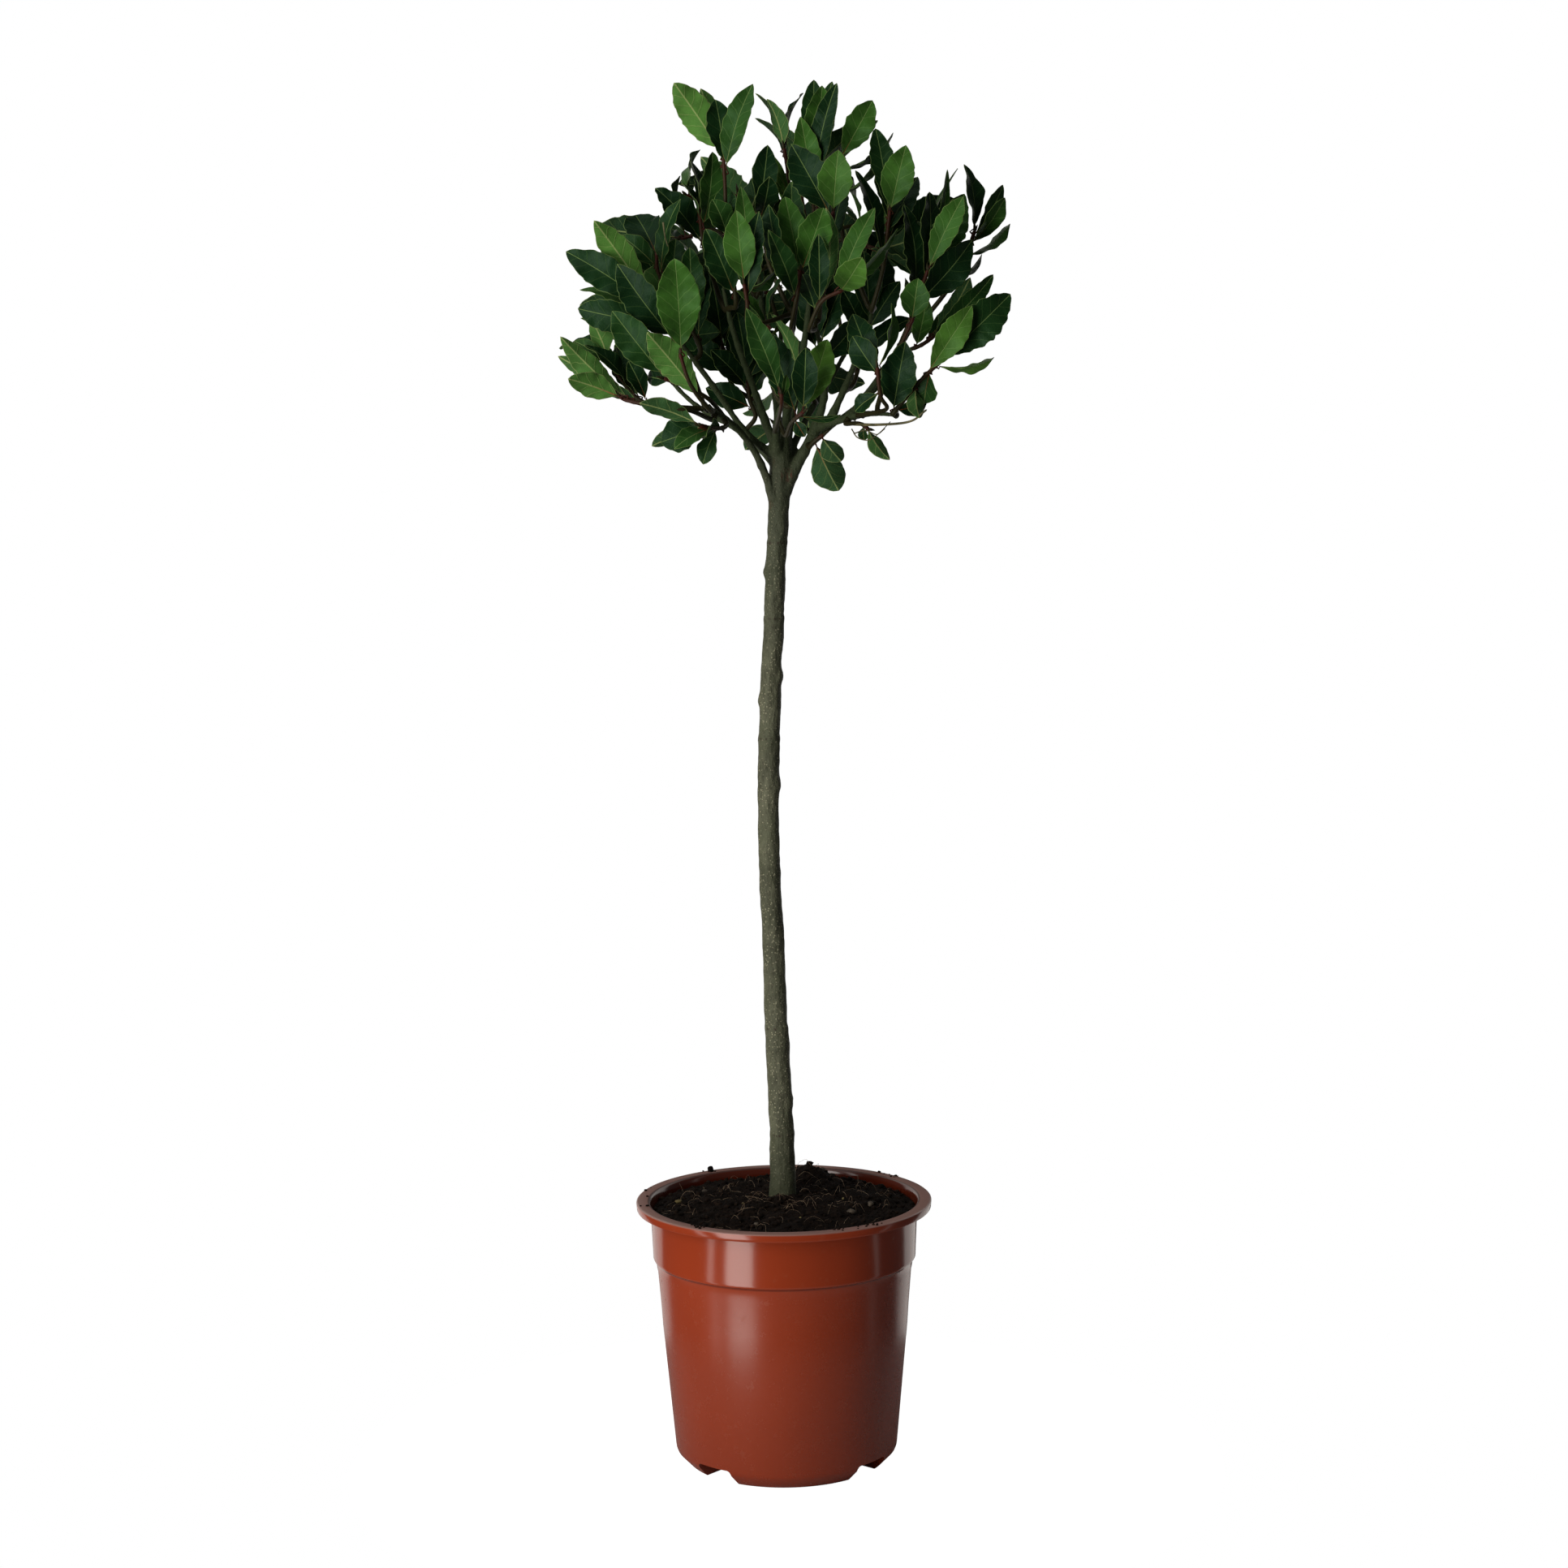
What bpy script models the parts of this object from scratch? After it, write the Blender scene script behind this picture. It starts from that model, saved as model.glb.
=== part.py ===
"""A bay laurel grown as a small standard tree: a bare trunk and a round leafy head, in a nursery pot.

The pot, the soil and the trunk with its limbs are one piece each. The head is leafy sprays, each a
twig with its own leaves fused to it. Lengths are millimetres until a mesh is stored, in metres.
The pot's axis is Z, it stands on Z = 0, and the tree's best side faces -Y.
"""

import math
import random

import bmesh
import bpy
from mathutils import Matrix, Quaternion, Vector
from mathutils.bvhtree import BVHTree

MM = 0.001
GAP = 0.3

# Pot, a thin moulding: radii and heights
POT_RIM_R = 110.0
POT_HEIGHT = 197.3
POT_LIP_DROP = 6.1
POT_BAND_FOOT = 153.0
POT_BASE_R = 73.4
POT_WALL = 1.5
POT_FLOOR = 12.9
POT_FLOOR_R = 55.0
POT_STEPS = 28
PAD_HEIGHT = 0.8
PAD_SIZE = (11.0, 22.0)
PAD_INSET = 9.0
PAD_SPREAD = 18.0
BELOW = 5.0
NOTCH_COUNT = 4
NOTCH_FIRST = 49.5
NOTCH_WIDTH = 22.0
DRAIN_COUNT = 8
DRAIN_R = 5.0
DRAIN_RING_R = 36.0

# Soil: a low mound with a clump behind the trunk
SOIL_EDGE = 190.0
SOIL_MOUND = 10.0
SOIL_FLOOR = 15.0
SOIL_SIDES = 24
SOIL_HOLE_R = 11.6
SOIL_HOLE_FLOOR = 128.0
CLUMP_AT = (19.0, 60.0)
CLUMP_HEIGHT = 11.0
CLUMP_R = 15.0

# Trunk: height, sideways bend and radius of its centre line
TRUNK_LINE = (
    (130, -0.5, 10.0),
    (196, -0.5, 10.4),
    (206, -0.6, 9.9),
    (244, -0.9, 9.1),
    (270, -1.8, 8.9),
    (312, -3.4, 8.8),
    (342, -4.6, 8.4),
    (390, -5.5, 8.1),
    (437, -7.6, 7.9),
    (487, -8.2, 7.8),
    (507, -7.8, 7.9),
    (538, -7.0, 7.9),
    (569, -5.6, 7.8),
    (587, -4.8, 7.7),
    (627, -2.4, 7.5),
    (663, -0.8, 7.5),
    (701, 1.7, 7.5),
    (726, 3.2, 8.2),
    (748, 4.4, 8.0),
    (760, 5.4, 5.5),
)
TRUNK_SIDES = 8
# Knots: height, bearing in degrees from +X, and how far they stand out
KNOTS = (
    (663, 200, 2.6),
    (587, -15, 2.2),
    (569, 185, 2.6),
    (507, 0, 2.4),
    (312, 250, 1.4),
    (270, -5, 2.0),
    (627, 90, 1.2),
    (538, 300, 1.2),
)
KNOT_SPREAD = 6.0

# Limbs: radius at the root and at the end, then the points of the centre line
LIMBS = (
    (3.6, 2.3, ((-1, -3, 716), (-10, -9, 740), (-18, -14, 755), (-30, -30, 769), (-47, -66, 780))),
    (3.2, 2.0, ((1, 0, 746), (-21, -9, 764), (-46, -18, 800), (-74, -30, 838))),
    (3.6, 2.0, ((2, -3, 748), (-13, -14, 790), (-28, -22, 832), (-36, -24, 866))),
    (3.6, 2.2, ((1, -4, 750), (1, -24, 768), (5, -46, 783))),
    (4.2, 2.2, ((6, -1, 748), (10, -14, 785), (12, -34, 815), (14, -58, 846))),
    (5.4, 2.0, ((6, -1, 722), (20, -3, 748), (31, -8, 766), (52, -26, 773), (70, -46, 775), (86, -58, 773))),
    (3.6, 2.1, ((28, -7, 762), (36, -14, 790), (34, -30, 820), (29, -56, 838))),
    (3.4, 2.0, ((38, -13, 768), (53, -18, 800), (66, -28, 832), (71, -38, 850))),
    (3.0, 2.0, ((54, -28, 773), (74, -30, 800), (92, -33, 826), (101, -38, 838))),
    (3.4, 1.8, ((3, 2, 746), (-12, 20, 782), (-32, 44, 818), (-50, 62, 848))),
    (3.4, 1.8, ((5, 2, 748), (8, 26, 786), (6, 54, 822), (4, 76, 852))),
    (3.4, 1.8, ((8, 1, 744), (25, 20, 778), (46, 44, 812), (62, 62, 842))),
    (3.8, 1.8, ((4, 1, 750), (0, 10, 800), (-8, 16, 850), (-12, 14, 902))),
    (3.8, 1.8, ((7, 1, 750), (17, 8, 800), (25, 12, 850), (30, 6, 900))),
    (3.0, 1.8, ((0, 1, 742), (-26, 16, 766), (-58, 28, 786), (-84, 36, 812))),
    (3.2, 1.8, ((10, 1, 742), (40, 20, 768), (68, 34, 790), (90, 42, 815))),
)
LIMB_SIDES = 4

# The sprays of the best side are laid out as they look from here
EYE = Vector((3.65, -2000.0, 684.0))

# Each spray: the points of its twig (across, depth, up), then its leaves, each one's place along the
# twig, where its tip is seen (across, up), how far it leans forward, its width and its turn in degrees.
# At a turn of 0 the leaf shows its upper face to the front, at 180 its underside.
FRONT_SPRAYS = (
    ("top_left", ((-27, -35, 859), (-33, -42, 900), (-34, -46, 943), (-35, -46, 965)), (
        (1.00, -70, 1015, 4, 25, 172), (1.00, -51, 1011, -14, 18, 160), (0.98, -40, 1003, -2, 22, 15),
        (0.95, -14, 1014, 6, 20, -60), (0.45, -43, 932, 8, 20, 25), (0.45, -34, 943, -4, 18, -45),
        (0.02, -48, 911, 10, 23, 10))),
    ("left_top", ((-40, -15, 865), (-50, -18, 900), (-53, -20, 926)), (
        (1.00, -59, 960, -6, 16, 70), (1.00, -50, 952, -25, 16, 20), (0.98, -64, 944, 4, 14, 80),
        (0.55, -84, 941, 0, 24, 35), (0.75, -43, 966, 20, 19, 30))),
    ("left", ((-51, -60, 784), (-64, -62, 819), (-79, -62, 842), (-87, -58, 858)), (
        (1.00, -129, 918, 10, 22, 175), (0.97, -150, 897, -4, 25, 10), (0.60, -113, 886, 16, 27, -10),
        (0.85, -140, 870, -16, 16, 50), (0.80, -142, 855, -6, 24, -10))),
    ("left_inner", ((-55, -22, 830), (-72, -25, 861), (-83, -26, 880), (-84, -27, 894)), (
        (1.00, -99, 921, -34, 28, 15), (0.85, -110, 907, -4, 17, 20), (0.75, -68, 933, 8, 18, -50),
        (0.15, -60, 898, 6, 21, 5), (0.00, -49, 886, 0, 16, -15))),
    ("left_front", ((-48, -80, 782), (-57, -92, 793), (-63, -98, 804), (-68, -102, 821)), (
        (1.00, -71, 890, 16, 31, 5), (0.12, -92, 837, 22, 24, 170))),
    ("far_left", ((-77, -72, 784), (-97, -64, 788), (-112, -60, 804), (-121, -58, 819)), (
        (1.00, -134, 850, 4, 18, 150), (0.95, -145, 832, -6, 12, 40), (0.45, -137, 830, 6, 20, 60),
        (0.45, -116, 828, -8, 18, -30), (0.40, -106, 817, 2, 15, 20))),
    ("low_left", ((-62, -84, 781), (-80, -88, 783), (-105, -84, 788), (-112, -83, 791)), (
        (1.00, -150, 805, 12, 19, 165), (0.95, -155, 835, -10, 18, 160), (0.93, -157, 821, -22, 14, 150),
        (0.93, -123, 797, -20, 10, 20))),
    ("left_middle", ((-51, -62, 788), (-65, -70, 796), (-80, -76, 804)), (
        (1.00, -117, 853, -2, 26, -5), (0.90, -93, 806, -16, 12, 0))),
    ("bottom_left", ((-38, -62, 768), (-46, -76, 768), (-54, -86, 770)), (
        (1.00, -98, 786, 8, 17, 165), (0.90, -83, 758, -4, 25, 15), (0.95, -90, 755, -18, 16, 150),
        (0.90, -73, 754, 6, 16, 75), (0.85, -53, 742, 2, 15, 20), (0.00, -53, 761, 20, 17, 160))),
    ("front", ((-17, -92, 842), (-19, -100, 858), (-21, -104, 871)), (
        (1.00, -26, 924, 6, 23, -5), (0.90, -22, 942, -24, 17, 15), (0.90, -10, 922, -6, 20, -55),
        (0.95, 3, 880, -8, 15, 60))),
    ("upper_front", ((-2, -50, 883), (-7, -56, 906), (-11, -60, 922)), (
        (1.00, -3, 970, -6, 19, 10), (1.00, -2, 948, 30, 18, 25))),
    ("top_middle", ((19, -34, 883), (14, -38, 923), (11, -40, 955), (9, -41, 967)), (
        (1.00, -2, 1003, 4, 15, 140), (1.00, -10, 1008, -12, 12, 60), (0.96, 21, 1010, -8, 20, -40),
        (0.55, -3, 966, 8, 7, 30), (0.52, -4, 955, 14, 7, 60), (0.50, 4, 958, 4, 7, -30))),
    ("middle", ((13, -70, 842), (17, -80, 862), (20, -86, 880)), (
        (1.00, 37, 925, 10, 24, 5), (0.70, -3, 927, 8, 22, -10), (0.45, -4, 909, 20, 18, 40),
        (1.00, 9, 933, -4, 20, 10), (0.95, 14, 944, -20, 20, -10))),
    ("upper_right", ((35, -70, 868), (42, -76, 894), (44, -80, 922)), (
        (1.00, 48, 966, 10, 25, -5), (0.97, 14, 971, -2, 27, -15), (0.45, 52, 938, -22, 16, -20))),
    ("top_right_inner", ((31, -28, 883), (30, -32, 923), (29, -34, 955)), (
        (1.00, 37, 1012, 2, 22, 10), (0.97, 31, 1017, -14, 18, 0), (0.97, 44, 1015, -18, 18, -20),
        (0.95, 46, 1012, 4, 17, -55), (0.90, 21, 990, 14, 20, 5))),
    ("top_right", ((52, -36, 900), (49, -42, 929), (49, -45, 961)), (
        (1.00, 73, 1001, 6, 21, 5), (0.97, 76, 988, -10, 14, -45), (0.95, 89, 976, 2, 16, 70),
        (0.55, 77, 959, 8, 14, 75))),
    ("right_top", ((72, -50, 854), (80, -58, 883), (85, -64, 922)), (
        (1.00, 97, 969, 8, 24, -5), (0.97, 75, 981, -10, 18, 15), (0.93, 76, 959, -2, 15, 30),
        (0.60, 105, 948, -24, 20, 0), (0.45, 60, 950, -12, 16, 50), (0.80, 95, 929, -8, 12, -30))),
    ("right_front", ((91, -55, 825), (102, -65, 851), (112, -74, 879)), (
        (1.00, 138, 932, 8, 19, -15), (0.98, 113, 936, 0, 22, 5), (1.00, 139, 934, -16, 24, 10),
        (0.75, 97, 927, 4, 23, 5), (0.80, 145, 901, 2, 27, 0), (0.95, 126, 951, -28, 10, 40),
        (0.95, 134, 952, -34, 10, -40))),
    ("far_right_top", ((107, -32, 842), (126, -42, 865), (139, -48, 886), (146, -48, 907)), (
        (1.00, 140, 955, 4, 19, 35), (1.00, 167, 940, -10, 14, 30), (0.97, 168, 931, 4, 16, 40),
        (0.75, 172, 912, 4, 16, 65), (0.50, 152, 890, -4, 14, 75))),
    ("right", ((86, -64, 777), (103, -72, 797), (111, -76, 805), (121, -78, 814)), (
        (1.00, 172, 862, -4, 28, 5), (0.90, 144, 854, 12, 21, -15), (1.00, 160, 815, 2, 18, 70),
        (0.95, 109, 784, -12, 20, 20), (0.50, 105, 773, 6, 14, 150), (0.02, 95, 828, 12, 26, -5),
        (0.05, 111, 785, -8, 14, 20))),
    ("right_inner", ((80, -40, 801), (92, -46, 819), (107, -50, 826), (116, -52, 832)), (
        (1.00, 143, 874, 4, 19, 150), (1.00, 159, 874, -10, 16, 20), (0.97, 147, 862, -6, 14, -20),
        (0.80, 111, 859, 26, 15, 10))),
    ("right_middle", ((83, -72, 807), (92, -80, 825), (101, -86, 845)), (
        (1.00, 105, 874, 6, 21, 0), (0.85, 95, 874, -8, 12, 60))),
    ("middle_right", ((26, -86, 839), (35, -94, 858), (50, -98, 866)), (
        (1.00, 65, 890, 34, 22, 10), (1.00, 74, 925, -6, 17, -20), (0.97, 90, 910, -14, 14, 60),
        (0.45, 33, 906, 2, 15, 5), (0.95, 40, 924, -14, 14, 140), (0.40, 19, 887, -22, 16, 10))),
    ("front_low", ((0, -30, 765), (2, -60, 772), (5, -90, 784), (5, -96, 792)), (
        (1.00, -20, 854, 8, 19, 10), (0.98, 9, 806, 0, 6, 30))),
    ("front_pair", ((8, -40, 762), (12, -66, 771), (21, -92, 779)), (
        (0.97, -2, 835, 10, 23, -5), (1.00, 23, 825, 8, 19, 5), (1.00, 39, 831, -10, 23, 10),
        (0.95, 22, 761, 0, 10, 10), (1.00, 48, 776, 4, 9, 60))),
    ("front_inner", ((12, -50, 784), (15, -58, 798), (18, -62, 810)), (
        (1.00, -2, 850, 2, 16, 140), (1.00, 30, 862, -8, 18, 10))),
    ("front_left_inner", ((-2, -45, 801), (-3, -55, 822), (-4, -60, 841)), (
        (1.00, 6, 875, 6, 16, -45), (1.00, -26, 867, 10, 10, 60), (0.90, 17, 869, 0, 9, 30))),
    ("low_right", ((81, -74, 780), (77, -86, 790), (75, -92, 810)), (
        (1.00, 87, 856, 6, 15, 65), (1.00, 57, 833, -4, 20, -10), (0.90, 57, 850, -20, 20, 20),
        (0.50, 58, 779, -6, 14, 30))),
    ("under_right", ((28, -16, 757), (35, -20, 762)), (
        (0.10, 46, 721, 10, 25, 170), (1.00, 48, 743, 12, 17, 160))),
    ("under_right_out", ((62, -46, 770), (68, -50, 766)), (
        (1.00, 83, 743, 2, 13, 150), (0.95, 65, 758, -6, 8, 20))),
    ("inner_left", ((-30, 14, 798), (-35, 16, 812), (-38, 18, 830)), (
        (1.00, -46, 881, 4, 25, 15), (0.90, -20, 868, 0, 23, -20), (0.75, -68, 856, -8, 24, 30),
        (0.50, -14, 838, -6, 20, -30), (0.30, -62, 833, 6, 21, 20))),
    ("inner_right", ((28, 16, 796), (31, 18, 812), (34, 20, 830)), (
        (1.00, 28, 884, 4, 24, 15), (0.90, 54, 876, 0, 23, -25), (0.75, 10, 868, -8, 22, 40),
        (0.50, 62, 846, -6, 22, 30), (0.30, 8, 832, 6, 20, -30))),
    ("inner_low", ((-14, 12, 776), (-18, 15, 788), (-20, 17, 806)), (
        (1.00, -26, 850, 2, 22, 10), (0.85, 0, 838, -4, 22, -25), (0.65, -46, 824, 4, 20, 25),
        (0.40, -4, 812, -6, 20, -35), (0.20, -50, 797, 0, 20, 30))),
    ("inner_far_right", ((58, 0, 800), (64, 4, 822), (70, 6, 842)), (
        (1.00, 66, 894, 4, 22, 10), (0.85, 92, 872, 0, 20, -20), (0.70, 50, 866, -8, 22, 30),
        (0.45, 100, 846, -6, 18, -40), (0.20, 60, 838, 6, 18, 20))),
    ("side_left_upper", ((-60, 2, 838), (-74, 4, 850), (-80, 5, 862)), (
        (1.00, -104, 908, -10, 25, 40), (0.90, -120, 888, 6, 24, 60), (0.75, -70, 905, -14, 24, -20),
        (0.60, -118, 864, -8, 24, 70), (0.30, -58, 872, 10, 22, -60))),
    ("side_left", ((-84, 34, 812), (-98, 38, 818), (-113, 40, 820)), (
        (1.00, -156, 827, -6, 24, 60), (0.90, -146, 812, -30, 22, 110), (0.80, -140, 848, 12, 23, 75),
        (0.60, -122, 856, -24, 24, 95))),
    ("under_left", ((2, 14, 764), (0, 24, 770)), (
        (1.00, -22, 752, -12, 20, 150), (0.90, 14, 752, -14, 18, 150))),
)

# The other sprays follow a rule: even bearings over the back and the sides of the round head
HEAD_CENTRE = Vector((0.0, 0.0, 868.0))
HEAD_R = Vector((156.0, 125.0, 132.0))
HEAD_TOP = 1004.0
RULE_BEARINGS = 41
RULE_SPRAYS = 26
RULE_LEAVES = 5
RULE_SEED = 11
TWIG_REACH = 0.60
REACH_SPREAD = (0.86, 1.08)
TWIG_MIDDLE = 0.35
TWIG_LIFT = 5.0
TWIG_SWAY = 3.0
UPWARD = 0.25
LEAFY_SHARE = 0.64
LEAF_OPENS = (26, 40)
LEAF_OPENS_LOW = 48
LEAF_BEARING_SWAY = 0.3
LEAF_LENGTHS = (58, 70)
TIP_LEAF_SHARE = 0.92
TOP_SPREAD = 12
LEAF_WIDTHS = (25, 30)
LEAF_TURNS = (-20, 20)
RULE_FRONT = -0.34
RULE_DEPTH = -6.0
RULE_LOWEST = -0.62

# Gaps that stay open from the front: across from, across to, up from, up to
OPEN_VIEWS = (
    (-31, -17, 938, 1030),
    (104, 125, 942, 1030),
    (64, 80, 912, 955),
    (-50, -29, 806, 826),
    (68, 92, 824, 850),
    (-200, -60, 600, 776),
    (-145, -86, 922, 1030),
    (-145, -62, 950, 1030),
    (148, 165, 945, 1030),
    (-200, -118, 700, 780),
    (122, 200, 700, 808),
    (60, 140, 600, 768),
    (-26, 32, 600, 752),
)

# Leaves and twigs
FINE_LENGTH = 45.0
PETIOLE_SHARE = 0.12
PETIOLE_R = 0.65
KNEE_OUT = 2.6
KNEE_ANGLE = 60.0
RIB_HALF = 0.55
LEAF_ARCH = 0.075
LEAF_FOLD = 0.22
LEAF_WAVE = 0.06
FINE_STATIONS = (0.34, 0.60, 0.83)
PLAIN_STATIONS = (0.40, 0.76)
TWIG_ROOT_R = 1.9
TWIG_END_R = 1.5
TWIG_SIDES = 4
LEAF_SPACING = 5.0
FOOT_SINK = 1.8
TWIG_BEND = 80.0
SPARE = 1.2
ROOT_STEPS = 7
ROOT_TRIES = 24
BENDS = (0.0, 3.0, 6.0, 10.0)
SHIFTS = (0, 5, -5, 10, -10, 15, -15, 21, -21, 28, -28, 36, -36)
TURNS = (0, 18, -18, 36, -36)


def clear_scene():
    for thing in list(bpy.data.objects):
        bpy.data.objects.remove(thing, do_unlink=True)


def make_collection(name):
    collection = bpy.data.collections.new(name)
    bpy.context.scene.collection.children.link(collection)
    return collection


def make_material(name, colour, roughness):
    material = bpy.data.materials.new(name)
    material.use_nodes = True
    shader = material.node_tree.nodes["Principled BSDF"]
    shader.inputs["Base Color"].default_value = (*colour, 1.0)
    shader.inputs["Roughness"].default_value = roughness
    shader.inputs["Metallic"].default_value = 0.0
    return material


def add_object(name, points, faces, material, collection):
    """A mesh object from points in millimetres, its faces turned outwards."""
    mesh = bpy.data.meshes.new(name)
    mesh.from_pydata([point * MM for point in points], [], faces)
    work = bmesh.new()
    work.from_mesh(mesh)
    bmesh.ops.recalc_face_normals(work, faces=work.faces)
    if work.calc_volume(signed=True) < 0.0:
        bmesh.ops.reverse_faces(work, faces=work.faces)
    work.to_mesh(mesh)
    work.free()
    thing = bpy.data.objects.new(name, mesh)
    if material:
        mesh.materials.append(material)
    collection.objects.link(thing)
    return thing


def loft(rings):
    """Points and triangles of a closed skin over rings; three points may meet four, the last may be one."""
    points = [point for ring in rings for point in ring]
    sides = len(rings[0])
    faces = [tuple(reversed(range(sides)))]
    start = 0
    for ring, after in zip(rings, rings[1:]):
        step = start + sides
        if len(after) > sides:
            faces.append((start, step + sides, step))
            faces.append((start, start + sides - 1, step + sides))
            faces.append((start + sides - 1, step + sides - 1, step + sides))
        for side in range(sides - 1 if len(after) > sides else sides):
            turn = (side + 1) % sides
            if len(after) == 1:
                faces.append((start + side, start + turn, step))
            elif side % 2 == 0:
                faces.append((start + side, start + turn, step + turn))
                faces.append((start + side, step + turn, step + side))
            else:
                faces.append((start + side, start + turn, step + side))
                faces.append((start + turn, step + turn, step + side))
        start = step
        sides = len(after)
    if len(rings[-1]) > 1:
        faces.append(tuple(range(start, start + sides)))
    return points, faces


def ring_round(centre, along, radius, sides, start=0.0):
    """A ring of points round a centre, square to the direction along."""
    guide = Vector((0.0, 1.0, 0.0)) if abs(along.y) < 0.8 else Vector((1.0, 0.0, 0.0))
    side = along.cross(guide).normalized()
    up = side.cross(along).normalized()
    ring = []
    for index in range(sides):
        angle = start + 2 * math.pi * index / sides
        ring.append(centre + side * (radius * math.cos(angle)) + up * (radius * math.sin(angle)))
    return ring


def tube(path, root_r, end_r, sides, past=2.2):
    """Rings along a path whose radius tapers evenly, ending in a point past it, or flat if past is 0."""
    rings = []
    for index, point in enumerate(path):
        before = path[max(index - 1, 0)]
        after = path[min(index + 1, len(path) - 1)]
        share = index / (len(path) - 1)
        radius = root_r + (end_r - root_r) * share
        rings.append(ring_round(point, (after - before).normalized(), radius, sides))
    if past:
        rings.append([path[-1] + (path[-1] - path[-2]).normalized() * (past * end_r)])
    return rings


def along_path(path, share):
    """The point at a share of a path's length."""
    lengths = [(b - a).length for a, b in zip(path, path[1:])]
    left = share * sum(lengths)
    for start, end, length in zip(path, path[1:], lengths):
        if left <= length:
            return start.lerp(end, left / length)
        left -= length
    return path[-1].copy()


def keep_outer_skin(mesh):
    """Fills the hollows sealed by a union and drops its scraps, leaving the skin with the largest box."""
    work = bmesh.new()
    work.from_mesh(mesh)
    left = set(work.verts)
    skins = []
    while left:
        skin = set()
        edge = [left.pop()]
        while edge:
            point = edge.pop()
            skin.add(point)
            beside = [link.other_vert(point) for link in point.link_edges]
            fresh = [other for other in beside if other in left]
            left.difference_update(fresh)
            edge.extend(fresh)
        skins.append(skin)
    skins.sort(key=lambda skin: max(point.co.z for point in skin) - min(point.co.z for point in skin))
    for skin in skins[:-1]:
        bmesh.ops.delete(work, geom=list(skin), context="VERTS")
    work.to_mesh(mesh)
    work.free()


def unite(name, first, others, material, collection):
    """One body from the first skin and the others, by one Boolean union on a collection.

    The thin stalks meet the twig at many small edges, which the EXACT solver leaves open in places.
    """
    body = add_object(name, *first, material, collection)
    parts = make_collection(name + "_parts")
    for index, skin in enumerate(others):
        add_object(f"{name}_part_{index}", *skin, material, parts)
    union = body.modifiers.new("union", "BOOLEAN")
    union.operation = "UNION"
    union.operand_type = "COLLECTION"
    union.collection = parts
    union.solver = "MANIFOLD"
    bpy.context.view_layer.update()
    result = bpy.data.meshes.new_from_object(body.evaluated_get(bpy.context.evaluated_depsgraph_get()))
    body.modifiers.clear()
    keep_outer_skin(result)
    body.data = result
    body.data.name = name
    for thing in list(parts.objects):
        bpy.data.objects.remove(thing, do_unlink=True)
    bpy.data.collections.remove(parts)
    return body


# Pot


def add_turned(name, profile, collection):
    """A turned solid: a profile in the XZ plane, outer side downwards, with a Screw modifier."""
    mesh = bpy.data.meshes.new(name)
    points = [Vector((radius, 0.0, height)) * MM for radius, height in profile]
    mesh.from_pydata(points, [(i, i + 1) for i in range(len(points) - 1)], [])
    thing = bpy.data.objects.new(name, mesh)
    collection.objects.link(thing)
    screw = thing.modifiers.new("turn", "SCREW")
    screw.axis = "Z"
    screw.steps = POT_STEPS
    screw.render_steps = POT_STEPS
    screw.use_merge_vertices = True
    screw.merge_threshold = 0.00001
    return thing


def add_block(name, size, centre, bearing, collection):
    """A box of a size along its own radius, across and up, set out at a bearing from +X."""
    mesh = bpy.data.meshes.new(name)
    work = bmesh.new()
    bmesh.ops.create_cube(work, size=1.0, matrix=Matrix.Diagonal((*(Vector(size) * MM), 1.0)))
    work.to_mesh(mesh)
    work.free()
    thing = bpy.data.objects.new(name, mesh)
    place = Matrix.Translation(Vector(centre) * MM)
    thing.matrix_world = Matrix.Rotation(math.radians(bearing), 4, "Z") @ place
    collection.objects.link(thing)


def add_drain(name, bearing, collection):
    """A round cutter through the raised floor."""
    mesh = bpy.data.meshes.new(name)
    work = bmesh.new()
    bmesh.ops.create_cone(
        work, segments=8, radius1=DRAIN_R * MM, radius2=DRAIN_R * MM, depth=12 * MM, cap_ends=True
    )
    work.to_mesh(mesh)
    work.free()
    thing = bpy.data.objects.new(name, mesh)
    place = Matrix.Translation(Vector((DRAIN_RING_R, 0.0, POT_FLOOR)) * MM)
    thing.matrix_world = Matrix.Rotation(math.radians(bearing), 4, "Z") @ place
    collection.objects.link(thing)


def cut(thing, operation, collection):
    """A Boolean of a thing with all of a collection."""
    change = thing.modifiers.new(operation.lower(), "BOOLEAN")
    change.operation = operation
    change.operand_type = "COLLECTION"
    change.collection = collection


def hide_cutters(collection):
    for thing in collection.objects:
        thing.hide_render = True
        thing.display_type = "WIRE"


def pot_outside():
    """The pot's outer profile, from the middle of its mouth over the rim and down to its base."""
    lip_foot = POT_HEIGHT - POT_LIP_DROP
    return (
        (0.0, POT_HEIGHT),
        (POT_RIM_R - 0.8, POT_HEIGHT),
        (POT_RIM_R, POT_HEIGHT - 0.8),
        (POT_RIM_R - 0.6, lip_foot),
        (POT_RIM_R - 1.8, lip_foot),
        (POT_RIM_R - 1.6, POT_HEIGHT - 2.0),
        (100.6, POT_HEIGHT - 2.4),
        (99.4, lip_foot - 1.0),
        (97.7, POT_BAND_FOOT + 2.0),
        (96.9, POT_BAND_FOOT - 1.5),
        (94.5, POT_BAND_FOOT - 7.0),
        (92.4, 118.0),
        (91.5, 104.0),
        (82.6, 9.4),
        (POT_BASE_R, PAD_HEIGHT),
        (0.0, PAD_HEIGHT),
    )


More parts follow.
